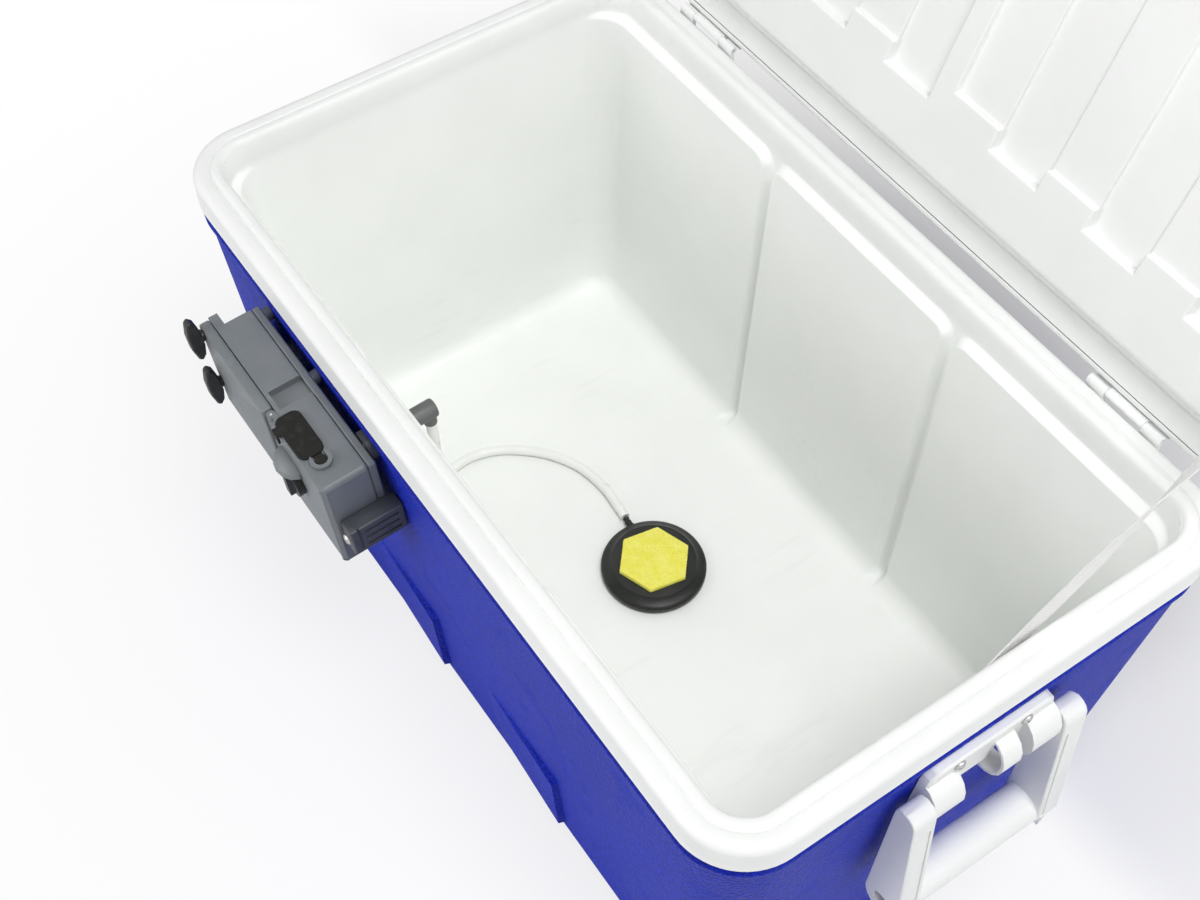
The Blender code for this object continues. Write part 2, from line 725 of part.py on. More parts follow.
def lid_rings(places):
    return [(HALF_LENGTH - i, HALF_WIDTH - i, max(0.012, RIM_CORNER - i), z - HINGE_Z) for i, z in places]


# The lid: an outer skin, foam, and an inner skin with a plug and its pressed pockets
lid_top = LID_SEAT + LID_HEIGHT
skin_places = [(LID_EDGE_INSET, LID_SEAT), (0.0, LID_SEAT + 0.003), (0.0, lid_top - 0.014),
               (0.003, lid_top - 0.006),
               (0.010, lid_top - 0.001), (0.030, lid_top + LID_CROWN / 2), (0.090, lid_top + LID_CROWN)]
lid_middle = (0.0, -HINGE_Y, 0.0)
lid_shell = piece("lid_shell", loft_mesh(lid_rings(skin_places)), white, lid_hinge, lid_middle)
hollow_places = [(LID_EDGE_INSET + LID_SKIN, LID_SEAT - 0.004), (LID_SKIN + 0.001, LID_SEAT + 0.003)]
hollow_places += [(i + LID_SKIN, z - LID_SKIN * (i > 0.002)) for i, z in skin_places[2:]]
combine(lid_shell, cutter("lid_hollow", loft_mesh(lid_rings(hollow_places)), lid_hinge, lid_middle),
        "DIFFERENCE")

plug_low = LID_SEAT - PLUG_DEPTH
lining_edge = LID_EDGE_INSET + LID_SKIN + GAP
groove_z = LID_SEAT + PLUG_GROOVE_DEPTH
groove_end = PLUG_GROOVE_INSET + PLUG_GROOVE_WIDTH
lining_places = [(lining_edge, LID_SEAT + LID_SKIN), (lining_edge, LID_SEAT), (PLUG_GROOVE_INSET, LID_SEAT),
                 (PLUG_GROOVE_INSET + 0.001, groove_z), (groove_end - 0.001, groove_z),
                 (groove_end, LID_SEAT - 0.001), (PLUG_INSET - 0.003, plug_low + 0.0012),
                 (PLUG_INSET, plug_low)]
lid_liner = piece("lid_liner", loft_mesh(lid_rings(lining_places)), white_skin, lid_hinge, lid_middle)
lining_hollow = [(groove_end + LID_SKIN, LID_SEAT + LID_SKIN + 0.004), (groove_end + LID_SKIN, LID_SEAT),
                 (PLUG_INSET + LID_SKIN, plug_low + LID_SKIN)]
combine(lid_liner, cutter("lining_hollow", loft_mesh(lid_rings(lining_hollow)), lid_hinge, lid_middle),
        "DIFFERENCE")


def pocket_meshes(offset):
    """Two sets of pockets pressed into the plug: every other one is deeper and starts nearer the hinge."""
    sets = []
    for kind in (0, 1):
        bm = bmesh.new()
        for side in (-1, 1):
            for number in range(POCKETS_A_SIDE):
                if (number + (side > 0)) % 2 != kind:
                    continue
                start = POCKET_RIB_HALF + number * POCKET_PITCH
                ends = sorted((side * start, side * (start + POCKET_PITCH)))
                start_y = HALF_WIDTH - POCKET_STARTS[kind]
                wide = offset + 0.0004 * (1 - kind)
                add_box(bm, (ends[0] - wide, -start_y - offset, plug_low - 0.004 - HINGE_Z),
                        (ends[1] + wide, start_y + offset,
                         plug_low + POCKET_DEPTHS[kind] + offset - HINGE_Z))
        sets.append(mesh_of(bm))
    return sets


def strap_recess_mesh(grown, low_z):
    """The recess in the lid's underside that takes the strap's end and its screw, grown outwards."""
    half = STRAP_WIDTH / 2 + STRAP_RECESS_MARGIN + grown
    return box_mesh(((strap_lid_x - half, -STRAP_LID_REACH - STRAP_RECESS_FRONT - grown, low_z - HINGE_Z),
                     (strap_lid_x + half, -STRAP_LID_REACH + STRAP_RECESS_BACK + grown,
                      LID_SEAT + STRAP_RECESS_DEPTH + grown - HINGE_Z)))


recess_back = strap_recess_mesh(STRAP_RECESS_WALL, groove_z + GAP)
combine(lid_liner, cutter("strap_recess_back", recess_back, lid_hinge), "UNION")
for kind, mesh in enumerate(pocket_meshes(LID_SKIN)):
    combine(lid_liner, cutter("pocket_backs_" + str(kind), mesh, lid_hinge, lid_middle), "UNION")
below = box_mesh(((-0.4, -0.4, plug_low - 0.02 - HINGE_Z), (0.4, 0.4, plug_low - HINGE_Z)))
combine(lid_liner, cutter("below_plug", below, lid_hinge, lid_middle), "DIFFERENCE")
for kind, mesh in enumerate(pocket_meshes(0.0)):
    combine(lid_liner, cutter("pockets_" + str(kind), mesh, lid_hinge, lid_middle), "DIFFERENCE")
recess = strap_recess_mesh(0.0, LID_SEAT - PLUG_DEPTH / 2)
combine(lid_liner, cutter("strap_recess", recess, lid_hinge), "DIFFERENCE")

foam_edge = LID_SKIN + GAP
foam_places = [(PLUG_INSET + foam_edge, plug_low + foam_edge),
               (groove_end + foam_edge, LID_SEAT + LID_SKIN),
               (lining_edge + GAP, LID_SEAT + foam_edge),
               (0.001 + foam_edge, LID_SEAT + LID_SKIN + 0.003)]
foam_places += [(i + foam_edge + 0.0004, z - foam_edge * (i > 0.002)) for i, z in skin_places[2:]]
lid_foam = piece("lid_foam", loft_mesh(lid_rings(foam_places)), foam, lid_hinge, lid_middle)
for kind, mesh in enumerate(pocket_meshes(LID_SKIN + GAP)):
    combine(lid_foam, cutter("foam_pockets_" + str(kind), mesh, lid_hinge, lid_middle), "DIFFERENCE")
foam_recess = strap_recess_mesh(STRAP_RECESS_WALL + GAP, LID_SEAT)
combine(lid_foam, cutter("foam_strap_recess", foam_recess, lid_hinge), "DIFFERENCE")

# The two hinges behind the lid
leaf_y = HALF_WIDTH + GAP
lid_holes = bmesh.new()
for side, x in (("left", -HINGE_X), ("right", HINGE_X)):
    half = HINGE_LENGTH / 2
    knuckle = HINGE_KNUCKLE / 2
    bm = bmesh.new()
    leaf_low = (x - half, leaf_y, RIM_TOP - HINGE_LEAF_DROP - HINGE_LEAF_HEIGHT)
    add_box(bm, leaf_low, (x + half, leaf_y + HINGE_LEAF, RIM_TOP - HINGE_LEAF_DROP))
    leaf = piece("hinge_body_leaf_" + side, mesh_of(bm), white)
    for end in (-1, 1):
        low = min(end * (knuckle + GAP), end * half) + x
        high = max(end * (knuckle + GAP), end * half) + x
        name = "knuckle_" + side + str(end)
        barrel = cutter(name, rod_mesh((low, HINGE_Y, HINGE_Z), (high, HINGE_Y, HINGE_Z), HINGE_BARREL))
        neck = cutter(name + "_neck", box_mesh(((low, leaf_y + 0.0002, RIM_TOP - HINGE_LEAF_DROP - 0.003),
                                                (high, leaf_y + HINGE_LEAF + 0.0012, HINGE_Z))))
        combine(leaf, barrel, "UNION")
        combine(leaf, neck, "UNION")
    pin_hole = rod_mesh((x - half - 0.001, HINGE_Y, HINGE_Z), (x + half + 0.001, HINGE_Y, HINGE_Z),
                        HINGE_PIN + GAP, steps=10)
    combine(leaf, cutter("pin_hole_" + side, pin_hole), "DIFFERENCE")
    pin = rod_mesh((x - half + 0.0005, HINGE_Y, HINGE_Z), (x + half - 0.0005, HINGE_Y, HINGE_Z), HINGE_PIN,
                   steps=10)
    piece("hinge_pin_" + side, pin, steel)
    bm = bmesh.new()
    hinge_hole_rods(bm, HOLE_CLEARANCE)
    combine(leaf, cutter("leaf_holes_" + side, mesh_of(bm)), "DIFFERENCE")

    low_y, low_z = lid_point(leaf_y, LID_SEAT + 0.0045)
    bm = bmesh.new()
    add_box(bm, (x - half, low_y, low_z), (x + half, low_y + HINGE_LEAF, low_z + HINGE_LEAF_HEIGHT))
    lid_leaf = piece("hinge_lid_leaf_" + side, mesh_of(bm), white, lid_hinge)
    barrel = cutter("lid_knuckle_" + side, rod_mesh((x - knuckle, 0.0, 0.0), (x + knuckle, 0.0, 0.0),
                                                    HINGE_BARREL),
                    lid_hinge)
    neck = cutter("lid_neck_" + side, box_mesh(((x - knuckle, low_y + 0.0002, 0.0),
                                                (x + knuckle, low_y + HINGE_LEAF + 0.0012, low_z + 0.003))),
                  lid_hinge)
    combine(lid_leaf, barrel, "UNION")
    combine(lid_leaf, neck, "UNION")
    hole = rod_mesh((x - half - 0.001, 0.0, 0.0), (x + half + 0.001, 0.0, 0.0), HINGE_PIN + GAP, steps=10)
    combine(lid_leaf, cutter("lid_pin_hole_" + side, hole, lid_hinge), "DIFFERENCE")
    leaf_holes = bmesh.new()
    for number, shift in enumerate((-HINGE_SCREW_SPREAD / 2, HINGE_SCREW_SPREAD / 2)):
        label = side + "_" + str(number + 1)
        screw("hinge_body_screw_" + label, steel, None,
              (x + shift, leaf_y + HINGE_LEAF + GAP, hinge_screw_z),
              (-math.pi / 2, 0.0, 0.0))
        screw_y = low_y + HINGE_LEAF + GAP
        screw_z = low_z + HINGE_LEAF_HEIGHT * 0.6
        screw("hinge_lid_screw_" + label, steel, lid_hinge, (x + shift, screw_y, screw_z),
              (-math.pi / 2, 0.0, 0.0))
        for holes in (leaf_holes, lid_holes):
            add_rod(holes, (x + shift, screw_y + 0.002, screw_z),
                    (x + shift, screw_y - SCREW_LENGTH - 0.001, screw_z),
                    SCREW_SHANK + HOLE_CLEARANCE, steps=8)
    combine(lid_leaf, cutter("lid_leaf_holes_" + side, mesh_of(leaf_holes), lid_hinge), "DIFFERENCE")

# The strap that stops the lid, with a screw at each end
lid_place = Matrix.LocRotScale(lid_hinge.location, Euler(lid_hinge.rotation_euler), None)
strap_face_z = LID_SEAT + STRAP_RECESS_DEPTH - HINGE_Z - GAP
strap_x = strap_wall_x - STRAP_THICKNESS / 2 - GAP
strap_screw_at = Vector((strap_x, STRAP_Y, strap_z))
strap_end = lid_place @ Vector((strap_lid_x, -STRAP_LID_REACH, strap_face_z - STRAP_THICKNESS / 2))
strap_along = (strap_end - strap_screw_at).normalized()
strap_start = strap_screw_at - strap_along * STRAP_TAB
strap_foot_x = strap_x - STRAP_TAB * CAVITY_DRAFT
bm = bmesh.new()
sections = []
for step in range(STRAP_STEPS + 1):
    share = step / STRAP_STEPS
    ease = min(1.0, max(0.0, (share - 0.25) / 0.6))
    turn = math.pi / 2 * ease * ease * (3 - 2 * ease)
    across = strap_along.cross(Vector((1.0, 0.0, 0.0))).normalized()
    across = Matrix.Rotation(turn, 3, strap_along) @ across
    normal = strap_along.cross(across).normalized()
    middle = strap_start.lerp(strap_end, share)
    slanted = max(0.0, share - STRAP_UPRIGHT) / (1.0 - STRAP_UPRIGHT)
    middle.x = strap_foot_x + (strap_end.x - strap_foot_x) * slanted
    half = across * STRAP_WIDTH / 2
    thick = normal * STRAP_THICKNESS / 2
    sections.append([bm.verts.new(middle + p) for p in (half + thick, thick - half, -half - thick,
                                                        half - thick)])
for lower, upper in zip(sections, sections[1:]):
    for i in (0, 1, 3):
        j = (i + 1) % 4
        bm.faces.new((lower[i], lower[j], upper[j]))
        bm.faces.new((lower[i], upper[j], upper[i]))
    bm.faces.new((lower[2], lower[3], upper[2]))
    bm.faces.new((lower[3], upper[3], upper[2]))
bm.faces.new(sections[0])
bm.faces.new(sections[-1])
lid_strap = piece("lid_strap", mesh_of(bm), webbing)
tab_half = STRAP_WIDTH / 2 - STRAP_TAB_MARGIN
tab = box_mesh(((strap_lid_x - tab_half, -STRAP_LID_REACH - STRAP_TAB, strap_face_z - STRAP_THICKNESS),
                (strap_lid_x + tab_half, -STRAP_LID_REACH + STRAP_TAB, strap_face_z)))
combine(lid_strap, cutter("strap_tab", tab, lid_hinge), "UNION")
bm = bmesh.new()
strap_hole_rod(bm, HOLE_CLEARANCE)
combine(lid_strap, cutter("strap_wall_hole", mesh_of(bm)), "DIFFERENCE")
screw("strap_screw_body", steel, None, (strap_x - STRAP_THICKNESS / 2 - GAP, STRAP_Y, strap_z),
      (0.0, -math.pi / 2, 0.0))
strap_lid_y = -STRAP_LID_REACH - STRAP_TAB / 2
screw("strap_screw_lid", steel, lid_hinge, (strap_lid_x, strap_lid_y, strap_face_z - STRAP_THICKNESS - GAP),
      (math.pi, 0.0, 0.0))
add_rod(lid_holes, (strap_lid_x, strap_lid_y, strap_face_z - 0.004),
        (strap_lid_x, strap_lid_y, strap_face_z + SCREW_LENGTH), SCREW_SHANK + HOLE_CLEARANCE, steps=8)
lid_holes_cutter = cutter("lid_holes", mesh_of(lid_holes), lid_hinge)
for target in (lid_shell, lid_foam, lid_liner, lid_strap):
    combine(target, lid_holes_cutter, "DIFFERENCE")

# The carrying handles, each with a bracket screwed to the end wall
FACING_X = Matrix(((0, 0, 1, 0), (1, 0, 0, 0), (0, 1, 0, 0), (0, 0, 0, 1)))
UPRIGHT = Matrix.Rotation(math.pi / 2, 4, "X")


def knuckle_mesh(low_y, high_y, inset):
    """A half-oval hood on the bracket between two places along it, its outline let in by an inset."""
    flat = 0.0045
    points = [(GAP + inset, -KNUCKLE_DROP - KNUCKLE_HALF_HEIGHT + inset)]
    for step in range(9):
        turn = math.pi * (step / 8 - 0.5)
        points.append((flat + (KNUCKLE_DEPTH - flat - inset) * math.cos(turn),
                       -KNUCKLE_DROP + (KNUCKLE_HALF_HEIGHT - inset) * math.sin(turn)))
    points.append((GAP + inset, -KNUCKLE_DROP + KNUCKLE_HALF_HEIGHT - inset))
    mesh = outline_mesh(points, high_y - low_y)
    mesh.transform(Matrix.Translation((0.0, (low_y + high_y) / 2, 0.0)) @ UPRIGHT)
    return mesh


for side, frame in end_frames.items():
    plate = loft_mesh([(BRACKET_LENGTH / 2 - i, BRACKET_HEIGHT / 2 - i, BRACKET_CORNER - i, GAP + t)
                       for i, t in ((0.0, 0.0), (0.0, BRACKET_THICKNESS - 0.0015),
                                    (0.0015, BRACKET_THICKNESS))], 3)
    plate.transform(Matrix.Translation((0.0, 0.0, -BRACKET_DROP - BRACKET_HEIGHT / 2)) @ FACING_X)
    bracket = piece("handle_bracket_" + side, plate, white, frame)
    spans = {"near": (-KNUCKLE_OUTER, -KNUCKLE_INNER),
             "middle": KNUCKLE_MIDDLE,
             "far": (KNUCKLE_INNER, KNUCKLE_OUTER)}
    for place, (low, high) in spans.items():
        combine(bracket, cutter(side + "_knuckle_" + place, knuckle_mesh(low, high, 0.0), frame), "UNION")
    hollow = knuckle_mesh(KNUCKLE_MIDDLE[0] - 0.001, KNUCKLE_MIDDLE[1] + 0.001, KNUCKLE_SKIN)
    combine(bracket, cutter(side + "_knuckle_hollow", hollow, frame), "DIFFERENCE")
    bm = bmesh.new()
    for sign, label in ((-1, "_1"), (1, "_2")):
        add_rod(bm, (PIVOT_OUT, sign * (KNUCKLE_OUTER + 0.001), -PIVOT_DROP),
                (PIVOT_OUT, sign * (KNUCKLE_OUTER - PIVOT_REACH - 0.001), -PIVOT_DROP), PIVOT_RADIUS + GAP)
        y = sign * BRACKET_SCREW_Y
        z = -BRACKET_DROP - BRACKET_SCREW_DROP
        add_rod(bm, (-0.001, y, z), (BRACKET_THICKNESS + 0.002, y, z), SCREW_SHANK + HOLE_CLEARANCE,
                steps=8)
        screw("bracket_screw_" + side + label, steel, frame, (BRACKET_THICKNESS + 2 * GAP, y, z),
              (0.0, math.pi / 2, 0.0))
    combine(bracket, cutter(side + "_bracket_holes", mesh_of(bm), frame), "DIFFERENCE")

    place = Matrix.LocRotScale(frame.location, Euler(frame.rotation_euler), None)
    facing = 0.0 if side == "right" else math.pi
    pivot = empty("handle_pivot_" + side, place @ Vector((PIVOT_OUT, 0.0, -PIVOT_DROP)), (0.0, 0.0, facing))
    arm_in = KNUCKLE_OUTER + 2 * GAP
    grip = GRIP_RADIUS + 0.0008
    taper = math.degrees(math.asin((grip - ARM_HUB) / HANDLE_DROP))
    side_points = arc((0.0, 0.0), ARM_HUB, -taper, 180 + taper, 8)
    side_points += arc((HANDLE_OUT, -HANDLE_DROP), grip, 180 + taper, 360 - taper, 10)
    arm = outline_mesh(side_points, ARM_WIDTH)
    arm.transform(UPRIGHT)
    first = arm.copy()
    first.transform(Matrix.Translation((0.0, arm_in + ARM_WIDTH / 2, 0.0)))
    arm.transform(Matrix.Translation((0.0, -arm_in - ARM_WIDTH / 2, 0.0)))
    handle = piece("handle_" + side, first, white, pivot)
    bevel(handle, 0.0016, 1, 40)
    other = cutter("other_arm_" + side, arm, pivot)
    bevel(other, 0.0016, 1, 40)
    bar = rod_mesh((HANDLE_OUT, -arm_in - 0.004, -HANDLE_DROP), (HANDLE_OUT, arm_in + 0.004, -HANDLE_DROP),
                   GRIP_RADIUS,
                   steps=20)
    combine(handle, cutter("grip_" + side, bar, pivot), "UNION")
    combine(handle, other, "UNION")
    bm = bmesh.new()
    for sign in (-1, 1):
        add_rod(bm, (0.0, sign * (arm_in + 0.003), 0.0), (0.0, sign * (KNUCKLE_OUTER - PIVOT_REACH), 0.0),
                PIVOT_RADIUS)
    combine(handle, cutter("pivots_" + side, mesh_of(bm), pivot), "UNION")
    reach = arm_in + ARM_WIDTH + 0.002
    bore = rod_mesh((HANDLE_OUT, -reach, -HANDLE_DROP), (HANDLE_OUT, reach, -HANDLE_DROP), GRIP_BORE)
    combine(handle, cutter("grip_bore_" + side, bore, pivot), "DIFFERENCE")
    slope = math.atan((HANDLE_OUT + grip - ARM_HUB) / HANDLE_DROP)
    bm = bmesh.new()
    for sign in (-1, 1):
        middle = sign * (arm_in + 0.0042)
        add_box(bm, (ARM_HUB - 0.0012, middle - ARM_GROOVE / 2, -HANDLE_DROP - 0.002),
                (ARM_HUB + 0.008, middle + ARM_GROOVE / 2, -0.012))
    grooves = mesh_of(bm)
    grooves.transform(Matrix.Rotation(-slope, 4, "Y"))
    combine(handle, cutter("arm_grooves_" + side, grooves, pivot), "DIFFERENCE")

# The drain low at the right end
wall_depth = drain_out - (HALF_LENGTH - CAVITY_INSET - CAVITY_DRAFT * (RIM_BOTTOM - DRAIN_Z))
nut_top = -wall_depth - 0.001
tube_end = nut_top - DRAIN_NUT_THICKNESS - 0.001
flange = GAP + DRAIN_FLANGE_THICKNESS
turned("drain_spout", ((DRAIN_BORE, DRAIN_OUT), (DRAIN_TUBE, DRAIN_OUT), (DRAIN_TUBE, flange),
                       (DRAIN_FLANGE, flange),
                       (DRAIN_FLANGE, GAP), (DRAIN_TUBE, GAP), (DRAIN_TUBE, tube_end),
                       (DRAIN_BORE, tube_end)),
       white, drain_frame, bored=True)
nut = rod_mesh((0.0, 0.0, nut_top - DRAIN_NUT_THICKNESS), (0.0, 0.0, nut_top), DRAIN_NUT, steps=6)
drain_nut = piece("drain_nut", nut, white, drain_frame, smooth=False)
hole = rod_mesh((0.0, 0.0, -0.05), (0.0, 0.0, 0.0), DRAIN_TUBE + GAP)
combine(drain_nut, cutter("drain_nut_hole", hole, drain_frame), "DIFFERENCE")
cap_inner = DRAIN_TUBE + GAP
cap_low = flange + GAP
cap_top = DRAIN_OUT + GAP + DRAIN_CAP_WALL
cap_profile = ((0.0, cap_top), (DRAIN_CAP - 0.002, cap_top), (DRAIN_CAP, cap_top - 0.002),
               (DRAIN_CAP, cap_low),
               (cap_inner, cap_low), (cap_inner, DRAIN_OUT + GAP), (0.0, DRAIN_OUT + GAP))
drain_cap = turned("drain_cap", cap_profile, white, drain_frame)
wings = box_mesh(((-DRAIN_WING_LENGTH / 2, -DRAIN_WING_THICKNESS / 2, cap_top - 0.001),
                  (DRAIN_WING_LENGTH / 2, DRAIN_WING_THICKNESS / 2, cap_top + DRAIN_WING_HEIGHT)))
combine(drain_cap, cutter("drain_wings", wings, drain_frame), "UNION")


# The pump unit on the front wall, in u, v, w
def at(u, v, w):
    return Vector((u, -v, -w))


def add_pump_box(bm, us, vs, ws):
    add_box(bm, (us[0], -vs[1], -ws[1]), (us[1], -vs[0], -ws[0]))


def pump_boxes(*boxes):
    bm = bmesh.new()
    for us, vs, ws in boxes:
        add_pump_box(bm, us, vs, ws)
    return mesh_of(bm)


def pump_rods(*rods):
    """Rods of (start, end, radius), each place in u, v, w."""
    bm = bmesh.new()
    for start, end, radius in rods:
        add_rod(bm, at(*start), at(*end), radius)
    return mesh_of(bm)


def pump_piece(name, mesh, look, smooth=True):
    return piece(name, mesh, look, pump_frame, smooth=smooth)


def pump_tool(target, name, mesh, operation):
    combine(target, cutter(name, mesh, pump_frame), operation)


front_low = PUMP_BACK + COVER_DEPTH + GAP
step_front = DOOR_BACK - GAP
block_left = FRONT_BLOCK_LEFT
room_ws = (PUMP_TOP + PUMP_WALL, PUMP_BOTTOM - PUMP_WALL)
plan = [(PUMP_LEFT, front_low), (PUMP_RIGHT, front_low), (PUMP_RIGHT, PUMP_FRONT), (block_left, PUMP_FRONT),
        (block_left, step_front), (PUMP_LEFT, step_front)]
box = outline_mesh([(u, -v) for u, v in plan], PUMP_BOTTOM - PUMP_TOP)
box.transform(Matrix.Translation((0.0, 0.0, -(PUMP_TOP + PUMP_BOTTOM) / 2)))
housing = pump_piece("pump_housing", box, grey)
bevel(housing, 0.0012, 2, 60)
partition = (PARTITION_U - PUMP_WALL / 2, PARTITION_U + PUMP_WALL / 2)
rooms = pump_boxes(((PUMP_LEFT + PUMP_WALL, partition[0]), (0.0, 0.06), room_ws),
                   ((partition[1], PUMP_RIGHT - PUMP_WALL), (0.0, step_front - PUMP_WALL), room_ws))
pump_tool(housing, "housing_rooms", rooms, "DIFFERENCE")
deep_room = pump_boxes(((block_left + PUMP_WALL, PUMP_RIGHT - PUMP_WALL), (0.02, PUMP_FRONT - PUMP_WALL),
                        room_ws))
pump_tool(housing, "housing_deep_room", deep_room, "DIFFERENCE")
lug_left = DOOR_LEFT - 0.0015
lug_boxes = [((lug_left, PUMP_LEFT + 0.001), (step_front - LUG_DEPTH, step_front),
              (w - LUG_WIDTH / 2, w + LUG_WIDTH / 2))
             for w in KNOB_WS]
pump_tool(housing, "knob_lugs", pump_boxes(*lug_boxes), "UNION")
lug_holes = [((KNOB_U, 0.030, w), (KNOB_U, 0.045, w), LUG_HOLE) for w in KNOB_WS]
pump_tool(housing, "knob_lug_holes", pump_rods(*lug_holes), "DIFFERENCE")
hinge_spans = ((PUMP_TOP + 0.001, PUMP_TOP + DOOR_LUG_LENGTH),
               (PUMP_BOTTOM - DOOR_LUG_LENGTH, PUMP_BOTTOM - 0.001))
lugs = pump_boxes(*[((DOOR_HINGE_U, block_left + 0.001), (step_front - 0.001, DOOR_HINGE_V + 0.0005), span)
                    for span in hinge_spans])
pump_tool(housing, "door_lugs", lugs, "UNION")
barrels = pump_rods(*[((DOOR_HINGE_U, DOOR_HINGE_V, low), (DOOR_HINGE_U, DOOR_HINGE_V, high), DOOR_BARREL)
                      for low, high in hinge_spans])
pump_tool(housing, "door_barrels", barrels, "UNION")
pin_hole = pump_rods(((DOOR_HINGE_U, DOOR_HINGE_V, 0.0), (DOOR_HINGE_U, DOOR_HINGE_V, 0.15),
                      DOOR_PIN + GAP))
pump_tool(housing, "door_pin_hole", pin_hole, "DIFFERENCE")
pump_tool(housing, "top_slot", pump_boxes((SLOT_U, SLOT_V, (PUMP_TOP - 0.001, PUMP_TOP + SLOT_DEPTH))),
          "DIFFERENCE")
bm = bmesh.new()
bmesh.ops.create_uvsphere(bm, u_segments=14, v_segments=8, radius=1.0)
bmesh.ops.bisect_plane(bm, geom=bm.verts[:] + bm.edges[:] + bm.faces[:], plane_co=(0.0, 0.0, 0.0),
                       plane_no=(0.0, 0.0, 1.0), clear_inner=True)
bmesh.ops.contextual_create(bm, geom=[e for e in bm.edges if e.is_boundary])
hood = mesh_of(bm)
hood.transform(Matrix.Translation(at(HOOD_U, PUMP_FRONT - 0.001, HOOD_W))
               @ Matrix.Diagonal((HOOD_RADIUS, HOOD_OUT + 0.001, HOOD_RISE, 1.0)))
pump_tool(housing, "switch_hood", hood, "UNION")
inner_hood = pump_boxes(((HOOD_U - HOOD_RADIUS - 0.002, HOOD_U + HOOD_RADIUS + 0.002),
                         (PUMP_FRONT - 0.02, PUMP_FRONT - PUMP_WALL), (HOOD_W - 0.02, HOOD_W + 0.01)))
pump_tool(housing, "behind_hood", inner_hood, "DIFFERENCE")
switch_hole = pump_rods(((SWITCH_U, PUMP_FRONT - 0.006, SWITCH_W), (SWITCH_U, PUMP_FRONT + 0.004, SWITCH_W),
                         SWITCH_SHAFT + GAP))
pump_tool(housing, "switch_hole", switch_hole, "DIFFERENCE")
well_u = (COVER_U[0] + COVER_PLUG_INSET, COVER_U[1] - COVER_PLUG_INSET - 0.002)
well_v = (COVER_V[0] + COVER_PLUG_INSET, COVER_V[1] - COVER_PLUG_INSET)
wall = 0.0015
well_deep = PUMP_TOP + SOCKET_DEPTH
well_box = pump_boxes(((well_u[0] - wall, well_u[1] + wall), (well_v[0] - wall, well_v[1] + wall),
                       (PUMP_TOP + 0.001, well_deep + wall)))
pump_tool(housing, "socket_well_box", well_box, "UNION")
pump_tool(housing, "socket_well", pump_boxes((well_u, well_v, (PUMP_TOP - 0.002, well_deep))), "DIFFERENCE")
well_middle = ((well_u[0] + well_u[1]) / 2, (well_v[0] + well_v[1]) / 2)
contact_pin = pump_rods(((*well_middle, well_deep + wall / 2),
                         (*well_middle, PUMP_TOP + COVER_PLUG + 0.001), 0.0012))
pump_tool(housing, "socket_contact", contact_pin, "UNION")
ring_top = PUMP_TOP - ROOT_HEIGHT - 0.0005
ring = pump_rods(((ROOT_U, ROOT_V, PUMP_TOP + 0.001), (ROOT_U, ROOT_V, ring_top),
                  ROOT_RADIUS + 0.0006 + LUG_RING))
pump_tool(housing, "root_ring", ring, "UNION")
ring_hole = pump_rods(((ROOT_U, ROOT_V, PUMP_TOP), (ROOT_U, ROOT_V, ring_top - 0.002),
                       ROOT_RADIUS + 0.0006))
pump_tool(housing, "root_ring_hole", ring_hole, "DIFFERENCE")
ring_gap = pump_boxes(((ROOT_U - 0.012, ROOT_U - 0.001), (ROOT_V - 0.0048, ROOT_V + 0.0048),
                       (ring_top - 0.002, PUMP_TOP)))
pump_tool(housing, "root_ring_gap", ring_gap, "DIFFERENCE")

cover = pump_piece("pump_back_cover", pump_boxes(((PUMP_LEFT, PUMP_RIGHT),
                                                  (PUMP_BACK, PUMP_BACK + COVER_DEPTH),
                                                  (PUMP_TOP, PUMP_BOTTOM))), grey)
bevel(cover, 0.001, 1, 60)
cover_room = pump_boxes(((PUMP_LEFT + PUMP_WALL, PUMP_RIGHT - PUMP_WALL), (PUMP_BACK + COVER_PLATE, 0.03),
                         room_ws))
pump_tool(cover, "cover_room", cover_room, "DIFFERENCE")
standoffs = [((u, GAP, w), (u, PUMP_BACK + 0.001, w), STANDOFF_RADIUS) for u in STANDOFF_US
             for w in (PUMP_TOP + STANDOFF_W_INSET, PUMP_BOTTOM - STANDOFF_W_INSET)]
pump_tool(cover, "standoffs", pump_rods(*standoffs), "UNION")
nipple = pump_rods(((OUTLET_U, 0.0015, OUTLET_W), (OUTLET_U, PUMP_BACK + 0.001, OUTLET_W), NIPPLE_RADIUS))
pump_tool(cover, "nipple", nipple, "UNION")
nipple_bore = pump_rods(((OUTLET_U, 0.0, OUTLET_W), (OUTLET_U, 0.012, OUTLET_W), NIPPLE_RADIUS / 2))
pump_tool(cover, "nipple_bore", nipple_bore, "DIFFERENCE")

# The battery door, hung on a pin at its right edge and held by two thumb knobs
door_pivot = empty("door_pivot", at(DOOR_HINGE_U, DOOR_HINGE_V, 0.0), parent=pump_frame)
door_frame = at(-DOOR_HINGE_U, -DOOR_HINGE_V, 0.0)
door_box = pump_boxes(((DOOR_LEFT, DOOR_RIGHT), (DOOR_BACK, DOOR_FRONT), (PUMP_TOP, PUMP_BOTTOM)))
door_box.transform(Matrix.Translation(door_frame))
door = piece("battery_door", door_box, grey, door_pivot)
bevel(door, 0.0014, 2, 60)
door_room = pump_boxes(((PUMP_LEFT + PUMP_WALL, DOOR_RIGHT - DOOR_WALL),
                        (DOOR_BACK - 0.002, DOOR_FRONT - DOOR_WALL),
                        (PUMP_TOP + DOOR_WALL, PUMP_BOTTOM - DOOR_WALL)))
pump_tool(door, "door_room", door_room, "DIFFERENCE")
knuckle_span = (hinge_spans[0][1] + GAP, hinge_spans[1][0] - GAP)
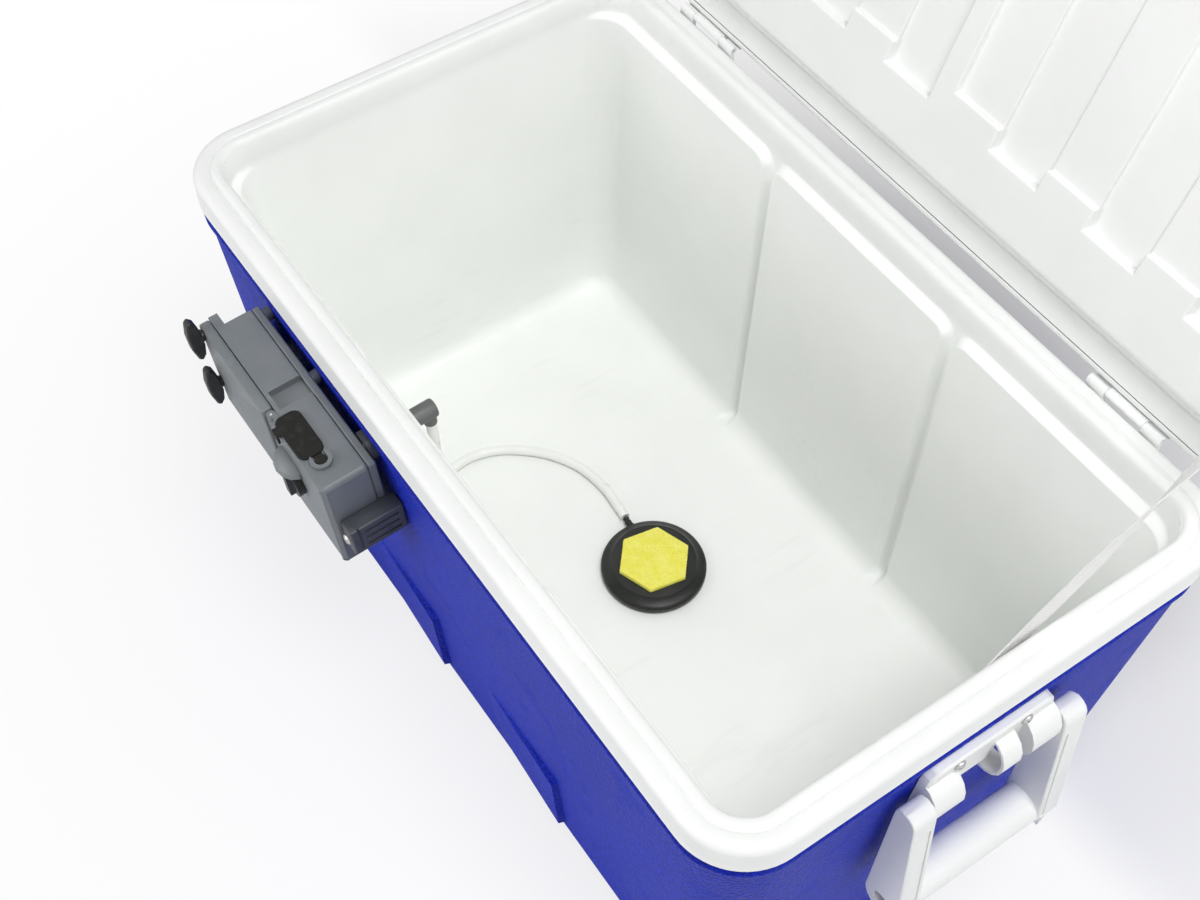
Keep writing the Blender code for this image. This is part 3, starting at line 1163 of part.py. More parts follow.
door_arm = pump_boxes(((DOOR_RIGHT - 0.001, DOOR_HINGE_U), (DOOR_BACK + 0.0008, DOOR_HINGE_V + 0.0025),
                       knuckle_span))
pump_tool(door, "door_arm", door_arm, "UNION")
door_barrel = pump_rods(((DOOR_HINGE_U, DOOR_HINGE_V, knuckle_span[0]),
                         (DOOR_HINGE_U, DOOR_HINGE_V, knuckle_span[1]),
                         DOOR_BARREL - 0.0002))
pump_tool(door, "door_barrel", door_barrel, "UNION")
pump_tool(door, "door_pin_bore", pin_hole.copy(), "DIFFERENCE")
knob_bores = [((KNOB_U, 0.038, w), (KNOB_U, 0.052, w), KNOB_SHAFT + GAP) for w in KNOB_WS]
pump_tool(door, "knob_bores", pump_rods(*knob_bores), "DIFFERENCE")
pump_piece("door_hinge_pin", pump_rods(((DOOR_HINGE_U, DOOR_HINGE_V, PUMP_TOP + 0.0012),
                                        (DOOR_HINGE_U, DOOR_HINGE_V, PUMP_BOTTOM - 0.0012), DOOR_PIN)),
           steel)
for number, w in enumerate(KNOB_WS):
    base = DOOR_FRONT + GAP
    wing_base = base + KNOB_HUB_LENGTH
    half = KNOB_WING_LENGTH / 2
    high = KNOB_WING_HEIGHT
    wing_points = [(-half, 0.50 * high), (-0.80 * half, 0.18 * high), (-0.35 * half, 0.0), (0.35 * half, 0.0),
                   (0.80 * half, 0.18 * high), (half, 0.50 * high), (0.90 * half, 0.78 * high),
                   (0.35 * half, high), (-0.35 * half, high), (-0.90 * half, 0.78 * high)]
    wing = outline_mesh(wing_points, KNOB_WING_THICKNESS)
    # The outline's length goes along w and its height out of the wall.
    wing.transform(Matrix(((0, 0, 1, 0), (0, -1, 0, -wing_base), (1, 0, 0, 0), (0, 0, 0, 1))))
    pivot = empty("knob_pivot_" + str(number + 1), at(KNOB_U - DOOR_HINGE_U, -DOOR_HINGE_V, w),
                  parent=door_pivot)
    knob = piece("door_knob_" + str(number + 1), wing, black, pivot)
    bevel(knob, 0.001, 1, 40)
    hub = rod_mesh((0.0, -base, 0.0), (0.0, -wing_base - 0.002, 0.0), KNOB_HUB)
    shaft = rod_mesh((0.0, -step_front + LUG_DEPTH - 0.001, 0.0), (0.0, -base - 0.002, 0.0), KNOB_SHAFT,
                     steps=12)
    combine(knob, cutter("knob_hub_" + str(number), hub, pivot), "UNION")
    combine(knob, cutter("knob_shaft_" + str(number), shaft, pivot), "UNION")

# The batteries and their contacts
cell_shoulder = CELL_TOP + CELL_NUB
for number, u in enumerate(CELL_US):
    profile = ((0.0, 0.0), (CELL_NUB_RADIUS, 0.0), (CELL_NUB_RADIUS, -CELL_NUB),
               (CELL_RADIUS - 0.001, -CELL_NUB),
               (CELL_RADIUS, -CELL_NUB - 0.001), (CELL_RADIUS, -CELL_NUB - CELL_LENGTH),
               (0.0, -CELL_NUB - CELL_LENGTH))
    turned("battery_" + str(number + 1), profile, cell_wrap, pump_frame, at(u, CELL_V, CELL_TOP))
contact_u = (CELL_US[0] - CONTACT_WIDTH / 2, CELL_US[1] + CONTACT_WIDTH / 2)
contact_v = (CELL_V - CONTACT_WIDTH / 2, CELL_V + CONTACT_WIDTH / 2)
top_plate = (room_ws[0] + GAP, room_ws[0] + GAP + CONTACT_THICKNESS)
plate_contact = pump_piece("battery_plate_contact", pump_boxes((contact_u, contact_v, top_plate)), steel)
bumps = [((u, CELL_V, top_plate[0] + 0.0003), (u, CELL_V, CELL_TOP - GAP),
          CELL_NUB_RADIUS) for u in CELL_US]
pump_tool(plate_contact, "contact_bumps", pump_rods(*bumps), "UNION")
low_plate = (room_ws[1] - GAP - CONTACT_THICKNESS, room_ws[1] - GAP)
spring_contact = pump_piece("battery_spring_contact", pump_boxes((contact_u, contact_v, low_plate)), steel)
bm = bmesh.new()
for u in CELL_US:
    add_rod(bm, at(u, CELL_V, low_plate[1] - 0.0003), at(u, CELL_V, cell_shoulder + CELL_LENGTH + GAP),
            SPRING_BASE,
            SPRING_TIP, 12)
pump_tool(spring_contact, "contact_springs", mesh_of(bm), "UNION")

# The motor, its eccentric, the diaphragm and the valve block
motor_end = MOTOR_U + MOTOR_LENGTH / 2
motor_w = PUMP_BOTTOM - PUMP_WALL - GAP - MOTOR_RADIUS
pump_piece("motor", pump_rods(((motor_end - MOTOR_LENGTH, MOTOR_V, motor_w), (motor_end, MOTOR_V, motor_w),
                               MOTOR_RADIUS)),
           steel)
rotor_pivot = empty("rotor_pivot", at(0.0, MOTOR_V, motor_w), parent=pump_frame)
shaft = rod_mesh((motor_end + GAP, 0.0, 0.0), (ECCENTRIC_U + 0.005, 0.0, 0.0), MOTOR_SHAFT, steps=10)
eccentric = piece("motor_eccentric", shaft, steel, rotor_pivot)
disc = rod_mesh((ECCENTRIC_U - ECCENTRIC_WIDTH / 2, 0.0, -ECCENTRIC_OFFSET),
                (ECCENTRIC_U + ECCENTRIC_WIDTH / 2, 0.0, -ECCENTRIC_OFFSET), ECCENTRIC_RADIUS)
combine(eccentric, cutter("eccentric_disc", disc, rotor_pivot), "UNION")
valve_vs = (PUMP_BACK + COVER_PLATE + GAP, MOTOR_V + VALVE_HALF)
valve_block = pump_piece("valve_block", pump_boxes(((ECCENTRIC_U - VALVE_HALF, ECCENTRIC_U + VALVE_HALF),
                                                    valve_vs,
                                                    (VALVE_TOP, VALVE_BOTTOM))), dark_grey)
chamber = pump_rods(((ECCENTRIC_U, MOTOR_V, VALVE_BOTTOM + 0.001),
                     (ECCENTRIC_U, MOTOR_V, VALVE_BOTTOM - CHAMBER_DEPTH),
                     CHAMBER_RADIUS))
pump_tool(valve_block, "chamber", chamber, "DIFFERENCE")
spout = pump_rods(((OUTLET_U - 0.008, 0.0155, VALVE_TOP + 0.002), (OUTLET_U, 0.0115, OUTLET_W + 0.002),
                   0.0022))
pump_tool(valve_block, "valve_spout", spout, "UNION")
disc_w = VALVE_BOTTOM - CHAMBER_DEPTH / 2
diaphragm = pump_piece("diaphragm", pump_rods(((ECCENTRIC_U, MOTOR_V, disc_w - DIAPHRAGM_THICKNESS / 2),
                                               (ECCENTRIC_U, MOTOR_V, disc_w + DIAPHRAGM_THICKNESS / 2),
                                               CHAMBER_RADIUS - GAP)), rubber)
stem_end = motor_w - ECCENTRIC_RADIUS - ECCENTRIC_OFFSET - STROKE - GAP
stem = pump_rods(((ECCENTRIC_U, MOTOR_V, disc_w), (ECCENTRIC_U, MOTOR_V, stem_end), DIAPHRAGM_STEM))
pump_tool(diaphragm, "diaphragm_stem", stem, "UNION")

# The rotary switch, and the rubber cover over the socket on top
switch_pivot = empty("switch_pivot", at(SWITCH_U, 0.0, SWITCH_W), parent=pump_frame)
switch_back = PUMP_FRONT + GAP
dial = rod_mesh((0.0, -switch_back, 0.0), (0.0, -switch_back - SWITCH_LENGTH * 0.6, 0.0), SWITCH_RADIUS)
switch_knob = piece("switch_knob", dial, black, switch_pivot)
bar_half = SWITCH_RADIUS * 0.25
grip_bar = box_mesh(((-bar_half, -switch_back - SWITCH_LENGTH, -SWITCH_RADIUS * 0.9),
                     (bar_half, -switch_back - 0.002, SWITCH_RADIUS * 0.9)))
combine(switch_knob, cutter("switch_bar", grip_bar, switch_pivot), "UNION")
stub = rod_mesh((0.0, -PUMP_FRONT + 0.006, 0.0), (0.0, -switch_back - 0.002, 0.0), SWITCH_SHAFT, steps=12)
combine(switch_knob, cutter("switch_stub", stub, switch_pivot), "UNION")

flap_top = PUMP_TOP - GAP - COVER_FLAP
flap_pivot = empty("flap_pivot", at(COVER_U[1] + 0.0001, 0.0, flap_top), parent=pump_frame)
flap_middle = ((COVER_U[0] + COVER_U[1]) / 2, (COVER_V[0] + COVER_V[1]) / 2)
flap = loft_mesh([((COVER_U[1] - COVER_U[0]) / 2 - i, (COVER_V[1] - COVER_V[0]) / 2 - i, COVER_CORNER - i,
                   z)
                  for i, z in ((0.0, -COVER_FLAP), (0.0, -0.0004), (0.0004, 0.0))], 4)
flap_origin = at(COVER_U[1] + 0.0001, 0.0, flap_top)
flap.transform(Matrix.Translation(at(*flap_middle, flap_top) - flap_origin))
socket_cover = piece("socket_cover", flap, rubber, flap_pivot)
plug = pump_boxes(((well_u[0] + 0.0008, well_u[1] - 0.0004), (well_v[0] + 0.0004, well_v[1] - 0.0004),
                   (flap_top + 0.0005, PUMP_TOP + COVER_PLUG)))
pump_tool(socket_cover, "cover_plug", plug, "UNION")
tab_u = (COVER_U[0] + 0.006, COVER_U[0] + 0.006 + COVER_TAB)
tab = pump_boxes((tab_u, (COVER_V[1] - 0.002, PUMP_FRONT + 0.0028), (flap_top + 0.0002, PUMP_TOP - GAP)))
pump_tool(socket_cover, "cover_tab", tab, "UNION")
tab_end = pump_boxes((tab_u, (PUMP_FRONT + 0.0012, PUMP_FRONT + 0.0028),
                      (flap_top + 0.0002, PUMP_TOP + 0.006)))
pump_tool(socket_cover, "cover_tab_end", tab_end, "UNION")
root = pump_piece("socket_cover_root", pump_rods(((ROOT_U, ROOT_V, PUMP_TOP - GAP),
                                                  (ROOT_U, ROOT_V, PUMP_TOP - ROOT_HEIGHT),
                                                  ROOT_RADIUS)), rubber)
tongue = pump_boxes(((COVER_U[1] + 2 * GAP, ROOT_U), (ROOT_V - 0.0032, ROOT_V + 0.0032),
                     (PUMP_TOP - GAP - 0.0012, PUMP_TOP - GAP)))
pump_tool(root, "root_tongue", tongue, "UNION")

# The clips that hold the unit to the wall
for side, (top, bottom, out) in CLIP_PLACES.items():
    middle = clip_middle(side)
    span = (middle - CLIP_WIDTH / 2, middle + CLIP_WIDTH / 2)
    clip = pump_piece("pump_clip_" + side, pump_boxes((span, (GAP, out), (top, bottom))), dark_grey)
    bevel(clip, 0.0015, 2, 60)
    outer = span[1] if side == "right" else span[0]
    cuts = []
    for step in (-1, 0, 1):
        w = (top + bottom) / 2 + step * CLIP_GROOVE_PITCH
        if top + CLIP_GROOVE < w < bottom - CLIP_GROOVE:
            cuts.append(((outer - CLIP_GROOVE_DEPTH, outer + CLIP_GROOVE_DEPTH), (0.005, out - 0.011),
                         (w - CLIP_GROOVE / 2, w + CLIP_GROOVE / 2)))
    cuts.append(((outer - CLIP_FLANGE_STEP, outer + CLIP_FLANGE_STEP),
                 (out - CLIP_FLANGE - 0.002, out - CLIP_FLANGE),
                 (top - 0.001, bottom + 0.001)))
    pump_tool(clip, "clip_grooves_" + side, pump_boxes(*cuts), "DIFFERENCE")
    w = (top + bottom) / 2
    pump_tool(clip, "clip_hole_" + side, pump_rods(((middle, -0.001, w), (middle, out + 0.001, w),
                                                    SCREW_SHANK + HOLE_CLEARANCE)), "DIFFERENCE")
    screw("clip_screw_" + side, steel, pump_frame, at(middle, out + GAP, w), (math.pi / 2, 0.0, 0.0),
          out + SCREW_LENGTH * 0.9)

# The air's way through the wall, and the elbow inside
body_y = HALF_WIDTH - BODY_INSET - BODY_DRAFT * OUTLET_W
panel_y = HALF_WIDTH - CAVITY_INSET - PANEL_DEPTH - CAVITY_DRAFT * OUTLET_W
inner_v = -(body_y - panel_y) / math.cos(DRAFT_TURN)
tube_end_v = inner_v - ELBOW_OVERLAP
bulkhead = pump_piece("bulkhead_fitting", pump_rods(((OUTLET_U, GAP, OUTLET_W),
                                                     (OUTLET_U, GAP + BULKHEAD_DISC_THICKNESS, OUTLET_W),
                                                     BULKHEAD_DISC)), dark_grey)
stem = pump_rods(((OUTLET_U, BULKHEAD_DISC_THICKNESS / 2, OUTLET_W), (OUTLET_U, tube_end_v, OUTLET_W),
                  BULKHEAD_TUBE))
pump_tool(bulkhead, "bulkhead_stem", stem, "UNION")
bore = pump_rods(((OUTLET_U, 0.01, OUTLET_W), (OUTLET_U, tube_end_v - 0.002, OUTLET_W), BULKHEAD_BORE))
pump_tool(bulkhead, "bulkhead_bore", bore, "DIFFERENCE")
elbow_start = inner_v - 2 * GAP
elbow_end = elbow_start - ELBOW_LENGTH
spigot_v = elbow_end + SPIGOT_BACK
spigot_w = OUTLET_W + SPIGOT_DROP
elbow = pump_piece("elbow", pump_rods(((OUTLET_U, elbow_start, OUTLET_W), (OUTLET_U, elbow_end, OUTLET_W),
                                       ELBOW_RADIUS)), grey)
bevel(elbow, 0.0018, 2, 60)
spigot = pump_rods(((OUTLET_U, spigot_v, OUTLET_W), (OUTLET_U, spigot_v, spigot_w), SPIGOT_RADIUS))
pump_tool(elbow, "spigot", spigot, "UNION")
elbow_bore = pump_rods(((OUTLET_U, elbow_start + 0.001, OUTLET_W), (OUTLET_U, tube_end_v - GAP, OUTLET_W),
                        BULKHEAD_TUBE + GAP))
pump_tool(elbow, "elbow_bore", elbow_bore, "DIFFERENCE")
passage = pump_rods(((OUTLET_U, spigot_v, OUTLET_W - 0.001), (OUTLET_U, spigot_v, spigot_w + 0.001),
                     AIR_PASSAGE))
pump_tool(elbow, "air_passage", passage, "DIFFERENCE")
cross = pump_rods(((OUTLET_U, tube_end_v + 0.001, OUTLET_W), (OUTLET_U, spigot_v, OUTLET_W),
                   AIR_PASSAGE * 0.95))
pump_tool(elbow, "air_crossing", cross, "DIFFERENCE")

# The airstone on the floor: a weighted base with a six-sided diffuser
stone = empty("airstone", (STONE_X, STONE_Y, CAVITY_FLOOR + GAP))
stone_base = turned("airstone_base", ((0.0, STONE_HEIGHT), (STONE_TOP_RADIUS, STONE_HEIGHT),
                                      (STONE_RADIUS - 0.003, 0.0085),
                                      (STONE_RADIUS, 0.006), (STONE_RADIUS, 0.002),
                                      (STONE_RADIUS - 0.002, 0.0), (0.0, 0.0)),
                    black, stone, steps=32)
barb_along = Vector((math.cos(BARB_TURN), math.sin(BARB_TURN), 0.0))
barb_base = Vector((0.0, 0.0, BARB_HEIGHT))
barb = rod_mesh(barb_base + barb_along * (STONE_RADIUS - 0.004),
                barb_base + barb_along * (STONE_RADIUS + BARB_LENGTH),
                BARB_RADIUS, steps=12)
combine(stone_base, cutter("barb", barb, stone), "UNION")
bm = bmesh.new()
bmesh.ops.create_cone(bm, cap_ends=True, segments=6, radius1=HEX_RADIUS + GAP, radius2=HEX_RADIUS + GAP,
                      depth=0.01,
                      matrix=Matrix.Translation((0.0, 0.0, STONE_HEIGHT - HEX_SINK + 0.005))
                      @ Matrix.Rotation(HEX_TURN, 4, "Z"))
combine(stone_base, cutter("hex_seat", mesh_of(bm), stone), "DIFFERENCE")
chamber = rod_mesh((0.0, 0.0, 0.0028), (0.0, 0.0, STONE_HEIGHT - HEX_SINK + 0.001), STONE_CHAMBER)
combine(stone_base, cutter("stone_chamber", chamber, stone), "DIFFERENCE")
feed = rod_mesh(barb_base + barb_along * 0.005,
                barb_base + barb_along * (STONE_RADIUS + BARB_LENGTH + 0.001), 0.0012, steps=8)
combine(stone_base, cutter("stone_feed", feed, stone), "DIFFERENCE")
bm = bmesh.new()
bmesh.ops.create_cone(bm, cap_ends=True, segments=6, radius1=HEX_RADIUS, radius2=HEX_RADIUS,
                      depth=HEX_THICKNESS,
                      matrix=Matrix.Rotation(HEX_TURN, 4, "Z"))
diffuser = piece("diffuser", mesh_of(bm), yellow, stone,
                 location=(0.0, 0.0, STONE_HEIGHT - HEX_SINK + GAP + HEX_THICKNESS / 2), smooth=False)
bevel(diffuser, 0.0008, 1, 40)


def smooth_route(points, step):
    """Points at even steps on a smooth curve through the given ones."""
    padded = [points[0] * 2 - points[1], *points, points[-1] * 2 - points[-2]]
    fine = []
    for before, start, end, after in zip(padded, padded[1:], padded[2:], padded[3:]):
        for i in range(12):
            t = i / 12
            bend = 2 * before - 5 * start + 4 * end - after
            twist = 3 * start - before - 3 * end + after
            fine.append(0.5 * (2 * start + (end - before) * t + bend * t * t + twist * t * t * t))
    fine.append(points[-1])
    length = sum((b - a).length for a, b in zip(fine, fine[1:]))
    count = round(length / step)
    spaced = [fine[0]]
    walked = 0.0
    for a, b in zip(fine, fine[1:]):
        stretch = (b - a).length
        while len(spaced) < count and walked + stretch >= length * len(spaced) / count:
            share = (length * len(spaced) / count - walked) / stretch
            spaced.append(a.lerp(b, share))
        walked += stretch
    spaced.append(fine[-1])
    return spaced, length


# The air tube from the elbow down to the floor and round to the stone
pump_place = Matrix.LocRotScale(pump_frame.location, Euler(pump_frame.rotation_euler), None)
tube_start = pump_place @ at(OUTLET_U, spigot_v, spigot_w + GAP)
tube_finish = Vector(stone.location) + barb_base + barb_along * (STONE_RADIUS + BARB_LENGTH + GAP)
route, tube_length = smooth_route([tube_start, *[Vector(p) for p in TUBE_ROUTE], tube_finish], TUBE_STEP)
print("air tube length", round(tube_length, 4), "points", len(route))
curve = bpy.data.curves.new("air_tube", "CURVE")
curve.dimensions = "3D"
curve.bevel_depth = TUBE_RADIUS
curve.bevel_resolution = 2
curve.use_fill_caps = True
spline = curve.splines.new("POLY")
spline.points.add(len(route) - 1)
for place, point in zip(spline.points, route):
    place.co = (*point, 1.0)
air_tube = bpy.data.objects.new("air_tube", curve)
curve.materials.append(clear)
pieces.objects.link(air_tube)
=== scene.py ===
import math

import json

import bmesh
import bpy
import numpy as np
from mathutils import Matrix, Vector

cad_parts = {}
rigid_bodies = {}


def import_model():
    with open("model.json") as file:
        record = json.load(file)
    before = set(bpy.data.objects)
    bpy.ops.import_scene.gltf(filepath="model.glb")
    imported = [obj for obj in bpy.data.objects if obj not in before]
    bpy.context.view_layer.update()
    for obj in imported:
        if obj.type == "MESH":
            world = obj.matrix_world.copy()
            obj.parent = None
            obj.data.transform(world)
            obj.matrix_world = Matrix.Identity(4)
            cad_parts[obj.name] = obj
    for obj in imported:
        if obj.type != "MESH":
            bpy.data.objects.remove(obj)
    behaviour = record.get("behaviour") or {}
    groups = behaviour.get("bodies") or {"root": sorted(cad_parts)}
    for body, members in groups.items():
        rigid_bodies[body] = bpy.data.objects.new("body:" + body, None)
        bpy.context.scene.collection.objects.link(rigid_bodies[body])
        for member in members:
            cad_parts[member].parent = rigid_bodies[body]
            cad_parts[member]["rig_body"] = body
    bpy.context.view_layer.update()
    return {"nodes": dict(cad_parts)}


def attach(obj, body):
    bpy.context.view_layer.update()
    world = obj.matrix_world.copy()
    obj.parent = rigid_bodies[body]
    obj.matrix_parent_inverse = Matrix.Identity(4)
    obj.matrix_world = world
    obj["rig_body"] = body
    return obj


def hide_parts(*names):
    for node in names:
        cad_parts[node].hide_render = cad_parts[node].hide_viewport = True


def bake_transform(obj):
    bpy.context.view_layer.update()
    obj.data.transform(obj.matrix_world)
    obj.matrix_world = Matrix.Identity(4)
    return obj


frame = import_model()
scene = bpy.context.scene

# The camera looks down into the open chest from its right front corner, from about a metre up.
# The view was solved from the straight edges of the rim, the walls and the lid.
CAMERA_AT = (0.5647, -0.4429, 1.1922)
CAMERA_AZIMUTH = math.radians(55.2358)
CAMERA_ELEVATION = math.radians(53.8731)
CAMERA_ROLL = math.radians(0.3428)
LENS = 50.373
SENSOR_WIDTH = 36.0
sin_a = math.sin(CAMERA_AZIMUTH)
cos_a = math.cos(CAMERA_AZIMUTH)
sin_e = math.sin(CAMERA_ELEVATION)
cos_e = math.cos(CAMERA_ELEVATION)
back = Vector((sin_a * cos_e, -cos_a * cos_e, sin_e))
level = Vector((cos_a, sin_a, 0.0))
upward = back.cross(level)
right = level * math.cos(CAMERA_ROLL) + upward * math.sin(CAMERA_ROLL)
upward = upward * math.cos(CAMERA_ROLL) - level * math.sin(CAMERA_ROLL)
lens = bpy.data.cameras.new("camera")
lens.sensor_width = SENSOR_WIDTH
lens.lens = LENS
lens.clip_end = 60.0
camera = bpy.data.objects.new("camera", lens)
scene.collection.objects.link(camera)
camera.matrix_world = Matrix((
    (right.x, upward.x, back.x, CAMERA_AT[0]),
    (right.y, upward.y, back.y, CAMERA_AT[1]),
    (right.z, upward.z, back.z, CAMERA_AT[2]),
    (0.0, 0.0, 0.0, 1.0)))
scene.camera = camera
scene.view_settings.view_transform = "Standard"

# The floor is a plain white sheet that only keeps the chest's soft shadow, under three wide lamps
# and a pale sky. Far from the chest it is the plain white of the backdrop.
FLOOR_HALF = 9.0
FLOOR_DROP = 0.0005
FLOOR_WHITENED = 0.78


class Wire:
    """A value between nodes; sums written on it add the maths nodes."""

    def __init__(self, nodes, socket):
        self.nodes = nodes
        self.socket = socket

    def sum(self, operation, *values):
        return self.nodes.node("ShaderNodeMath", {"operation": operation}, dict(enumerate(values)))

    def __add__(self, other):
        return self.sum("ADD", self, other)

    def __radd__(self, other):
        return self.sum("ADD", other, self)

    def __sub__(self, other):
        return self.sum("SUBTRACT", self, other)

    def __rsub__(self, other):
        return self.sum("SUBTRACT", other, self)

    def __mul__(self, other):
        return self.sum("MULTIPLY", self, other)

    def __rmul__(self, other):
        return self.sum("MULTIPLY", other, self)

    def ease(self, low, high):
        """0 below low, 1 above high and smooth between them."""
        return self.nodes.node("ShaderNodeMapRange", {"interpolation_type": "SMOOTHSTEP"},
                               {"Value": self, "From Min": low, "From Max": high})


class Nodes:
    """A node tree in which each node is made by one call."""

    def node(self, kind, settings=None, inputs=None, output=0):
        made = self.tree.nodes.new(kind)
        for setting, value in (settings or {}).items():
            setattr(made, setting, value)
        for socket, value in (inputs or {}).items():
            if isinstance(value, Wire):
                self.tree.links.new(value.socket, made.inputs[socket])
            else:
                made.inputs[socket].default_value = value
        return Wire(self, made.outputs[output])


class Finish(Nodes):
    """A surface finish, read from the piece's own coordinates in metres."""

    def __init__(self, name, **fixed):
        self.material = bpy.data.materials.new(name)
        self.material.use_nodes = True
        self.tree = self.material.node_tree
        self.shader = self.tree.nodes["Principled BSDF"]
        for socket, value in fixed.items():
            self.shader.inputs[socket.replace("_", " ")].default_value = value
        self.place = self.node("ShaderNodeTexCoord", output="Object")

    def stretched(self, x, y, z):
        return self.node("ShaderNodeMapping", None, {"Vector": self.place, "Scale": (x, y, z)})

    def cloud(self, scale, detail=3.0, place=None):
        return self.node("ShaderNodeTexNoise", None,
                         {"Vector": place or self.place, "Scale": scale, "Detail": detail})

    def pebbles(self, scale, place=None):
        return self.node("ShaderNodeTexVoronoi", {"feature": "SMOOTH_F1"},
                         {"Vector": place or self.place, "Scale": scale, "Smoothness": 0.6})

    def mixed(self, share, first, second):
        first = first if isinstance(first, Wire) else (*first, 1.0)
        second = second if isinstance(second, Wire) else (*second, 1.0)
        return self.node("ShaderNodeMix", {"data_type": "RGBA"}, {0: share, 6: first, 7: second}, 2)

    def close(self, colour, roughness, height=None, depth=0.0001, **others):
        ends = {"Base Color": colour, "Roughness": roughness, **others}
        if height is not None:
            bump = {"Height": height, "Distance": depth, "Strength": 1.0}
            ends["Normal"] = self.node("ShaderNodeBump", None, bump)
        for socket, wire in ends.items():
            self.tree.links.new(wire.socket, self.shader.inputs[socket])
        return self.material


studio = Finish("studio_floor", Roughness=0.9, Specular_IOR_Level=0.1)
from_chest = studio.node("ShaderNodeVectorMath", {"operation": "LENGTH"}, {0: studio.place}, "Value")
far_off = from_chest.ease(0.35, 0.9)
seen = studio.node("ShaderNodeLightPath", output="Is Camera Ray")
white_light = studio.node("ShaderNodeEmission", None, {"Color": (1.0, 1.0, 1.0, 1.0), "Strength": 1.0})
studio.shader.inputs["Base Color"].default_value = (0.93, 0.93, 0.93, 1.0)
plain = Wire(studio, studio.shader.outputs[0])
ground = studio.node("ShaderNodeSeparateXYZ", None, {0: studio.place}, 1)
behind = ground.ease(0.12, 0.19) * (1.0 - far_off)
whitened = (FLOOR_WHITENED + (1.0 - FLOOR_WHITENED) * far_off) * (1.0 - behind)
floor_end = studio.node("ShaderNodeMixShader", None, {0: seen * whitened, 1: plain, 2: white_light})
studio.tree.links.new(floor_end.socket, studio.tree.nodes["Material Output"].inputs["Surface"])
floor_mesh = bpy.data.meshes.new("studio_floor")
corner_signs = ((-1, -1), (1, -1), (1, 1), (-1, 1))
floor_corners = [(FLOOR_HALF * x, FLOOR_HALF * y, -FLOOR_DROP) for x, y in corner_signs]
floor_mesh.from_pydata(floor_corners, [], [(0, 1, 2, 3)])
floor_mesh.materials.append(studio.material)
studio_floor = bpy.data.objects.new("studio_floor", floor_mesh)
scene.collection.objects.link(studio_floor)

world = bpy.data.worlds.new("studio_sky")
world.use_nodes = True
scene.world = world
SKY_LIGHT = 0.30
SKY_SEEN = 1.0


class Sky(Nodes):
    """The world's own tree."""

    def __init__(self, tree):
        self.tree = tree


sky = Sky(world.node_tree)
path = world.node_tree.nodes.new("ShaderNodeLightPath")
looked_at, mirrored, let_through = [Wire(sky, path.outputs["Is %s Ray" % kind])
                                    for kind in ("Camera", "Glossy", "Transmission")]
seen_by = looked_at.sum("MAXIMUM", looked_at, mirrored.sum("MAXIMUM", mirrored, let_through))
backdrop = world.node_tree.nodes["Background"]
backdrop.inputs["Color"].default_value = (1.0, 1.0, 1.0, 1.0)
world.node_tree.links.new((seen_by * (SKY_SEEN - SKY_LIGHT) + SKY_LIGHT).socket, backdrop.inputs["Strength"])

LAMPS = (("overhead", (0.9, -0.1, 2.6), (0.0, 0.05, 0.2), 1.0, 36.0),
         ("front", (-0.6, -2.3, 1.1), (-0.1, -0.2, 0.2), 1.2, 22.0),
         ("side", (2.1, 0.5, 1.1), (0.3, 0.0, 0.2), 1.0, 9.0))
for name, place, target, width, power in LAMPS:
    lamp = bpy.data.lights.new(name, "AREA")
    lamp.shape = "DISK"
    lamp.size = width
    lamp.energy = power
    held = bpy.data.objects.new(name, lamp)
    held.location = place
    held.rotation_euler = (Vector(place) - Vector(target)).to_track_quat("Z", "Y").to_euler()
    scene.collection.objects.link(held)

# The air tube is soft clear vinyl, 8 mm thick, gone milky. It drops from the elbow inside the
# front wall, lies on the floor in one bend, and is pushed on the airstone's barb.
TUBE_RADIUS = 0.004
TUBE_BORE = 0.0027
TUBE_SIDES = 20
TUBE_STEPS = 6
TUBE_ENDS = ((-0.062, -0.147313, 0.287425), (-0.062063, 0.017936, 0.0326))
TUBE_ROUTE = ((-0.0622, -0.1465, 0.2750), (-0.0640, -0.1452, 0.2540), (-0.0710, -0.1430, 0.2240),
              (-0.0840, -0.1400, 0.1850), (-0.1020, -0.1350, 0.1430), (-0.1240, -0.1280, 0.1020),
              (-0.1470, -0.1180, 0.0660), (-0.1670, -0.1040, 0.0430), (-0.1810, -0.0840, 0.0345),
              (-0.1865, -0.0600, 0.0326), (-0.1820, -0.0380, 0.0326), (-0.1700, -0.0180, 0.0326),
              (-0.1500, 0.0020, 0.0326), (-0.1250, 0.0155, 0.0326), (-0.0980, 0.0205, 0.0326),
              (-0.0790, 0.0198, 0.0326))


def settle(mesh, name, nodes, material):
    """A finished mesh becomes a piece: it takes the place of its CAD nodes and rides on their body."""
    if material is not None:
        mesh.materials.clear()
        mesh.materials.append(material)
    made = bpy.data.objects.new(name, mesh)
    scene.collection.objects.link(made)
    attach(made, frame["nodes"][nodes[0]]["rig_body"])
    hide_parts(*nodes)
    return made


